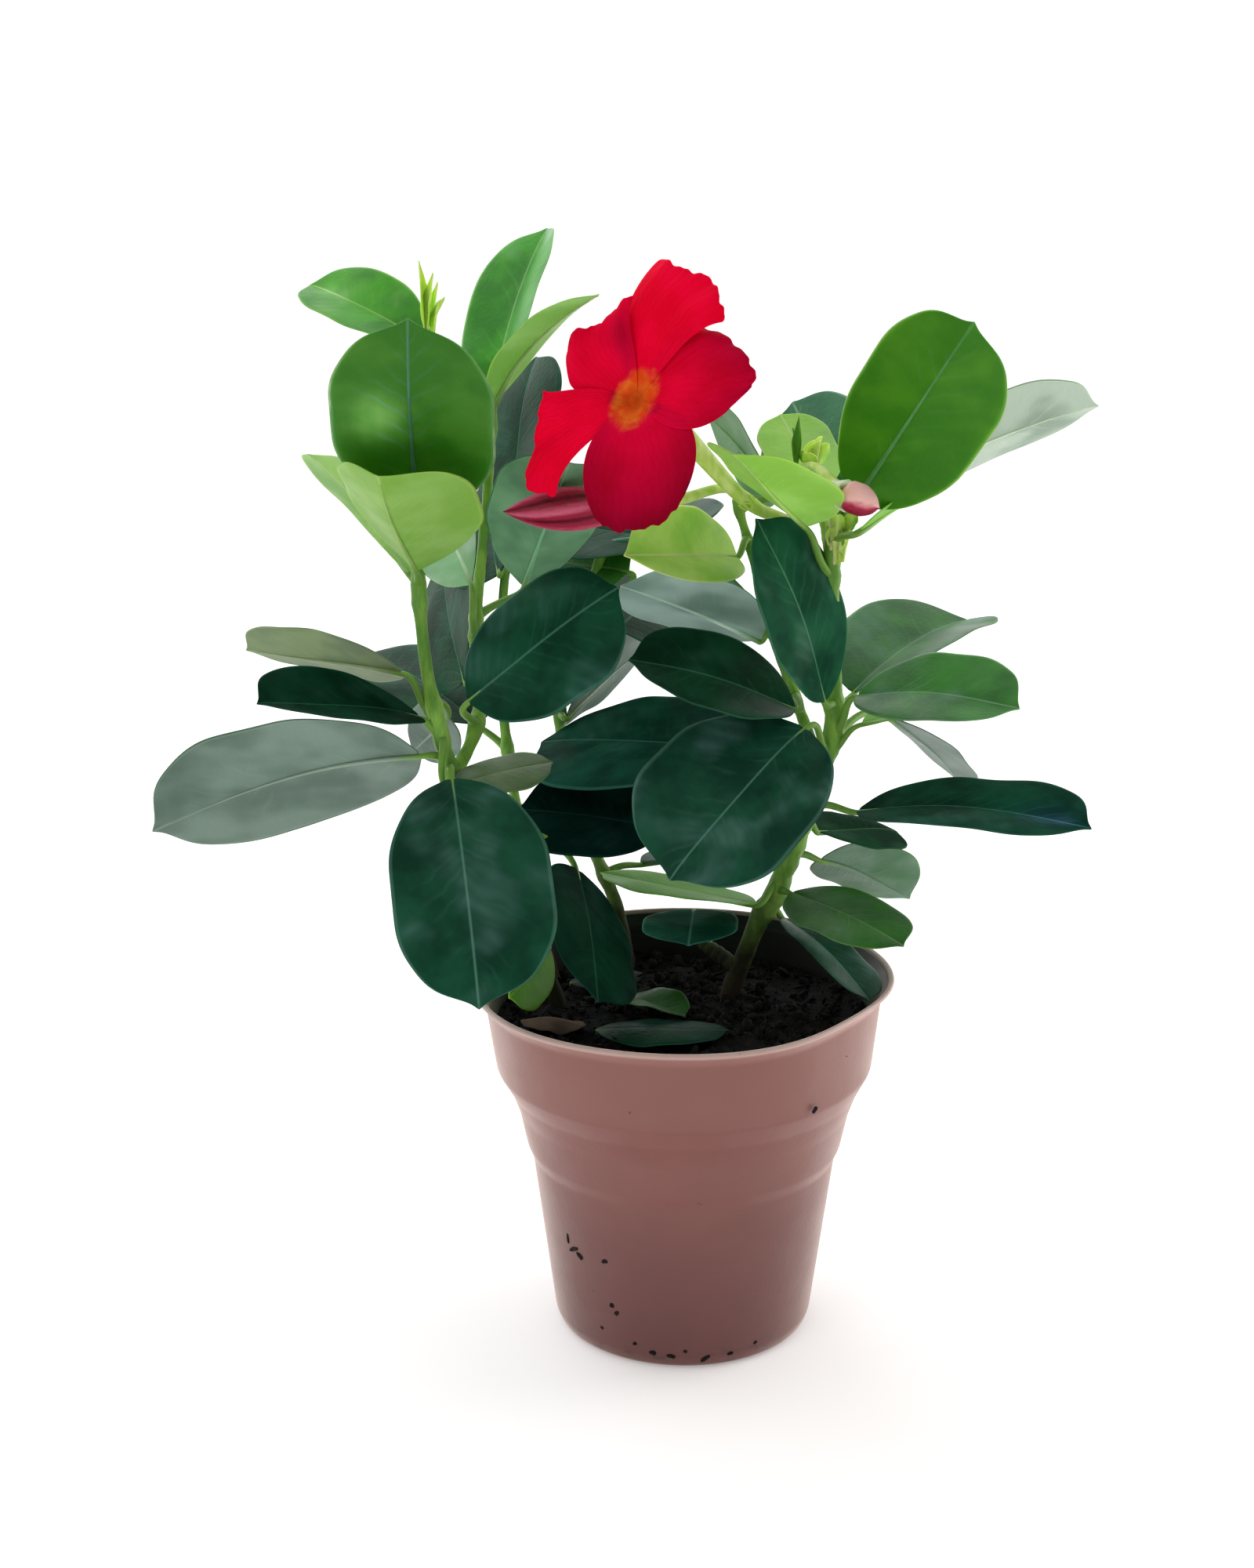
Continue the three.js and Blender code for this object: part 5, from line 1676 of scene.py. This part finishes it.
    def build(self) -> None:
        """Make the stalks, the furled flower and the bud, and let them stand for their nodes."""
        flower = self.stalk("flower_stem", self.flower_path, 1.5, 3.4)
        furled_stem = self.stalk("furled_stem", self.furled_path, 1.2, 2)
        line = smooth_path(self.flower_path, 40)
        ring = self.sepals(line[17], unit(line[19] - line[16]), 1.6, (3.6, 1.8))
        hand_in(join("flower_stems", [flower, furled_stem, self.tube(), *ring]), "stalk_pale", "flower_stalk")
        furled = self.rolled("furled_petals", self.furled_foot, self.furled_axis, self.furled_profile, 4, 0.3, 3.5, 5.5,
                             ROLLED)
        hand_in(join("furled_petals", [furled]), "petal_wine", "furled_flower")
        # The bud's one fold stands on top, so its pale ridge is a painted highlight there.
        bud = self.rolled("bud_petals", self.bud_foot, self.bud_axis, self.bud_profile, 1, 0.1, 1.1, 0.3, BUD)
        hand_in(join("bud_petals", [bud]), "bud_pink", "bud")
        bud_stem = self.stalk("bud_stem", self.bud_path, 1, 2.4)
        hand_in(join("bud_stem", [bud_stem, self.calyx()]), "stalk_pale", "bud_stalk")


# ---- Litter -------------------------------------------------------------------------------------------------------


@dataclass
class Litter:
    """Fallen leaves on the peat: where each lies, how high over it, its turn, size, bend, fold and look."""

    maker: LeafMaker
    soil: Soil
    rows: Sequence[tuple[str, str, Pair, float, Point, Pair, float, float, LeafLook, float, Point]] = (
        ("fallen_leaf", "leaf_mature", (-25, -20), 3.9, (0, 0, 4), (37, 24), 8, -3, MATURE, 1.0, (0.5, 0.7, 0.7)),
        ("dead_leaf_brown", "leaf_brown", (-46, -11), 3.1, (-12, 0, 8), (19, 14), 24, -14, BROWN, 3.0, (1, 1, 1)),
        ("dead_leaf_grey", "leaf_grey", (-33, 19), 2, (22, 0, 0), (23, 13), 12, -6, GREY, 3.0, (1, 1, 1)),
        ("withered_leaf", "leaf_fresh", (-18, 7), 1.2, (-40, 2, 0), (24, 16), 30, 16, FRESH, 2.0, (0.6, 0.6, 0.6)),
    )
    first_seed: int = 500

    def build(self) -> None:
        """Lay the leaves down and let them stand for their nodes."""
        for number, (name, slot, (x, y), over, turn, size, bend, fold, look, ripple, tint) in enumerate(self.rows):
            height = float(self.soil.height(np.array(x), np.array(y))) + over
            seed = self.first_seed + number
            form = Blade(np.array([x, y, height]), blade_axes(turn), *size, bend, fold, seed, ripple)
            parts = [self.maker.blade(form, look, tint), self.maker.rib(form, look, tint, None)]
            hand_in(join(f"{name}_laid", parts), slot, name)


# ---- Studio -------------------------------------------------------------------------------------------------------


@dataclass
class Studio:
    """A pale floor, soft light and the camera: a bright window wall behind the plant and a dimmer room in front."""

    camera_at: Point = (-16.3, -666.8, 351.0)
    camera_pitch: float = 15.96
    lens: float = 57.6
    floor_side: float = 60.0
    wall_light: float = 1.1
    room_light: float = 0.15
    ceiling_light: float = 0.8
    floor_glow: float = 0.3
    lights: Sequence[tuple[str, Point, Point, float, float, str]] = (
        ("window", (-0.7, 0.9, 1.0), (0, 0, 0.18), 1.6, 7, "f4f8ff"),
        ("front_fill", (-0.9, -1.2, 1.1), (0, 0, 0.2), 0.9, 3.5, "fffaf4"),
        ("side_rim", (0.9, 0.35, 0.35), (0, 0, 0.12), 0.6, 3.0, "fff6f0"),
    )

    def floor(self) -> None:
        """A matt white floor that reaches past the view, lit from inside like a light table."""
        floor = begin("studio_floor", bpy.ops.mesh.primitive_plane_add, size=self.floor_side)
        surface = Surface("light_table", 0.9, 1.3, Emission_Color=linear("ffffff"), Emission_Strength=self.floor_glow)
        surface.colour(surface.blend(surface.speckle(300, 1), linear("f7f7f6"), linear("fbfbfa")))
        paint(floor, surface.material)

    def room(self) -> None:
        """Light from all round, by direction: the wall behind, the ceiling and the room in front.

        To the camera the room is plain white on all sides.
        """
        world = bpy.data.worlds.new("studio_room")
        bpy.context.scene.world = world
        world.use_nodes = True
        tree = world.node_tree
        tree.nodes.clear()
        way = add_node(tree, "ShaderNodeTexCoord").outputs["Generated"]
        _, ahead, up = add_node(tree, "ShaderNodeSeparateXYZ", {0: way}).outputs
        depth = {"Value": ahead, "From Min": -0.5, "From Max": 0.45, "To Min": self.room_light,
                 "To Max": self.wall_light}
        wall = add_node(tree, "ShaderNodeMapRange", depth, interpolation_type="SMOOTHSTEP")
        rise = {"Value": up, "From Min": 0.35, "From Max": 0.9, "To Min": 0.0, "To Max": self.ceiling_light}
        ceiling = add_node(tree, "ShaderNodeMapRange", rise, interpolation_type="SMOOTHSTEP")
        shining = add_node(tree, "ShaderNodeMath", {0: wall, 1: ceiling}, operation="MAXIMUM")
        seen = add_node(tree, "ShaderNodeLightPath").outputs["Is Camera Ray"]
        strength = add_node(tree, "ShaderNodeMath", {0: shining, 1: seen}, operation="MAXIMUM")
        sky = add_node(tree, "ShaderNodeBackground", {"Color": linear("ffffff"), "Strength": strength})
        add_node(tree, "ShaderNodeOutputWorld", {"Surface": sky})

    def light(self, name: str, place: Point, aim: Point, side: float, power: float, tint: str) -> None:
        """A square soft box.

        Args:
            name: The light's name.
            place: Where it stands, in metres.
            aim: What it points at, in metres.
            side: Its side, in metres.
            power: Its power in watts.
            tint: Its colour.
        """
        lamp = bpy.data.lights.new(name, "AREA")
        lamp.size = side
        lamp.energy = power
        lamp.color = linear(tint)[:3]
        stand = bpy.data.objects.new(name, lamp)
        bpy.context.scene.collection.objects.link(stand)
        way = np.array(aim) - np.array(place)
        stand.location = place
        pitch = math.atan2(math.hypot(way[0], way[1]), -way[2])
        stand.rotation_euler = (pitch, 0, math.atan2(way[1], way[0]) - math.pi / 2)

    def camera(self) -> None:
        """The camera, level with the leaves and tilted down a little."""
        lens = bpy.data.cameras.new("studio_camera")
        lens.lens = self.lens
        lens.clip_start = 0.01
        camera = bpy.data.objects.new("studio_camera", lens)
        bpy.context.scene.collection.objects.link(camera)
        camera.location = [value * MM for value in self.camera_at]
        camera.rotation_euler = (math.radians(90 - self.camera_pitch), 0, 0)
        bpy.context.scene.camera = camera

    def build(self) -> None:
        """Set up the studio."""
        self.floor()
        self.room()
        for row in self.lights:
            self.light(*row)
        self.camera()
        bpy.context.scene.view_settings.view_transform = "Standard"


# ---- The whole ----------------------------------------------------------------------------------------------------


def main() -> None:
    """Build the potted mandevilla and its studio."""
    logging.basicConfig(level=logging.INFO, format="%(name)s: %(message)s")
    pot = Pot()
    soil = Soil(pot)
    maker = LeafMaker()
    corolla = Corolla()
    pot.build()
    soil.build()
    Vines(maker).build()
    Foliage(maker).build()
    corolla.build()
    Inflorescence(maker, corolla).build()
    Litter(maker, soil).build()
    bpy.data.objects.remove(maker.flat)
    Studio().build()


if __name__ == "__main__":
    main()
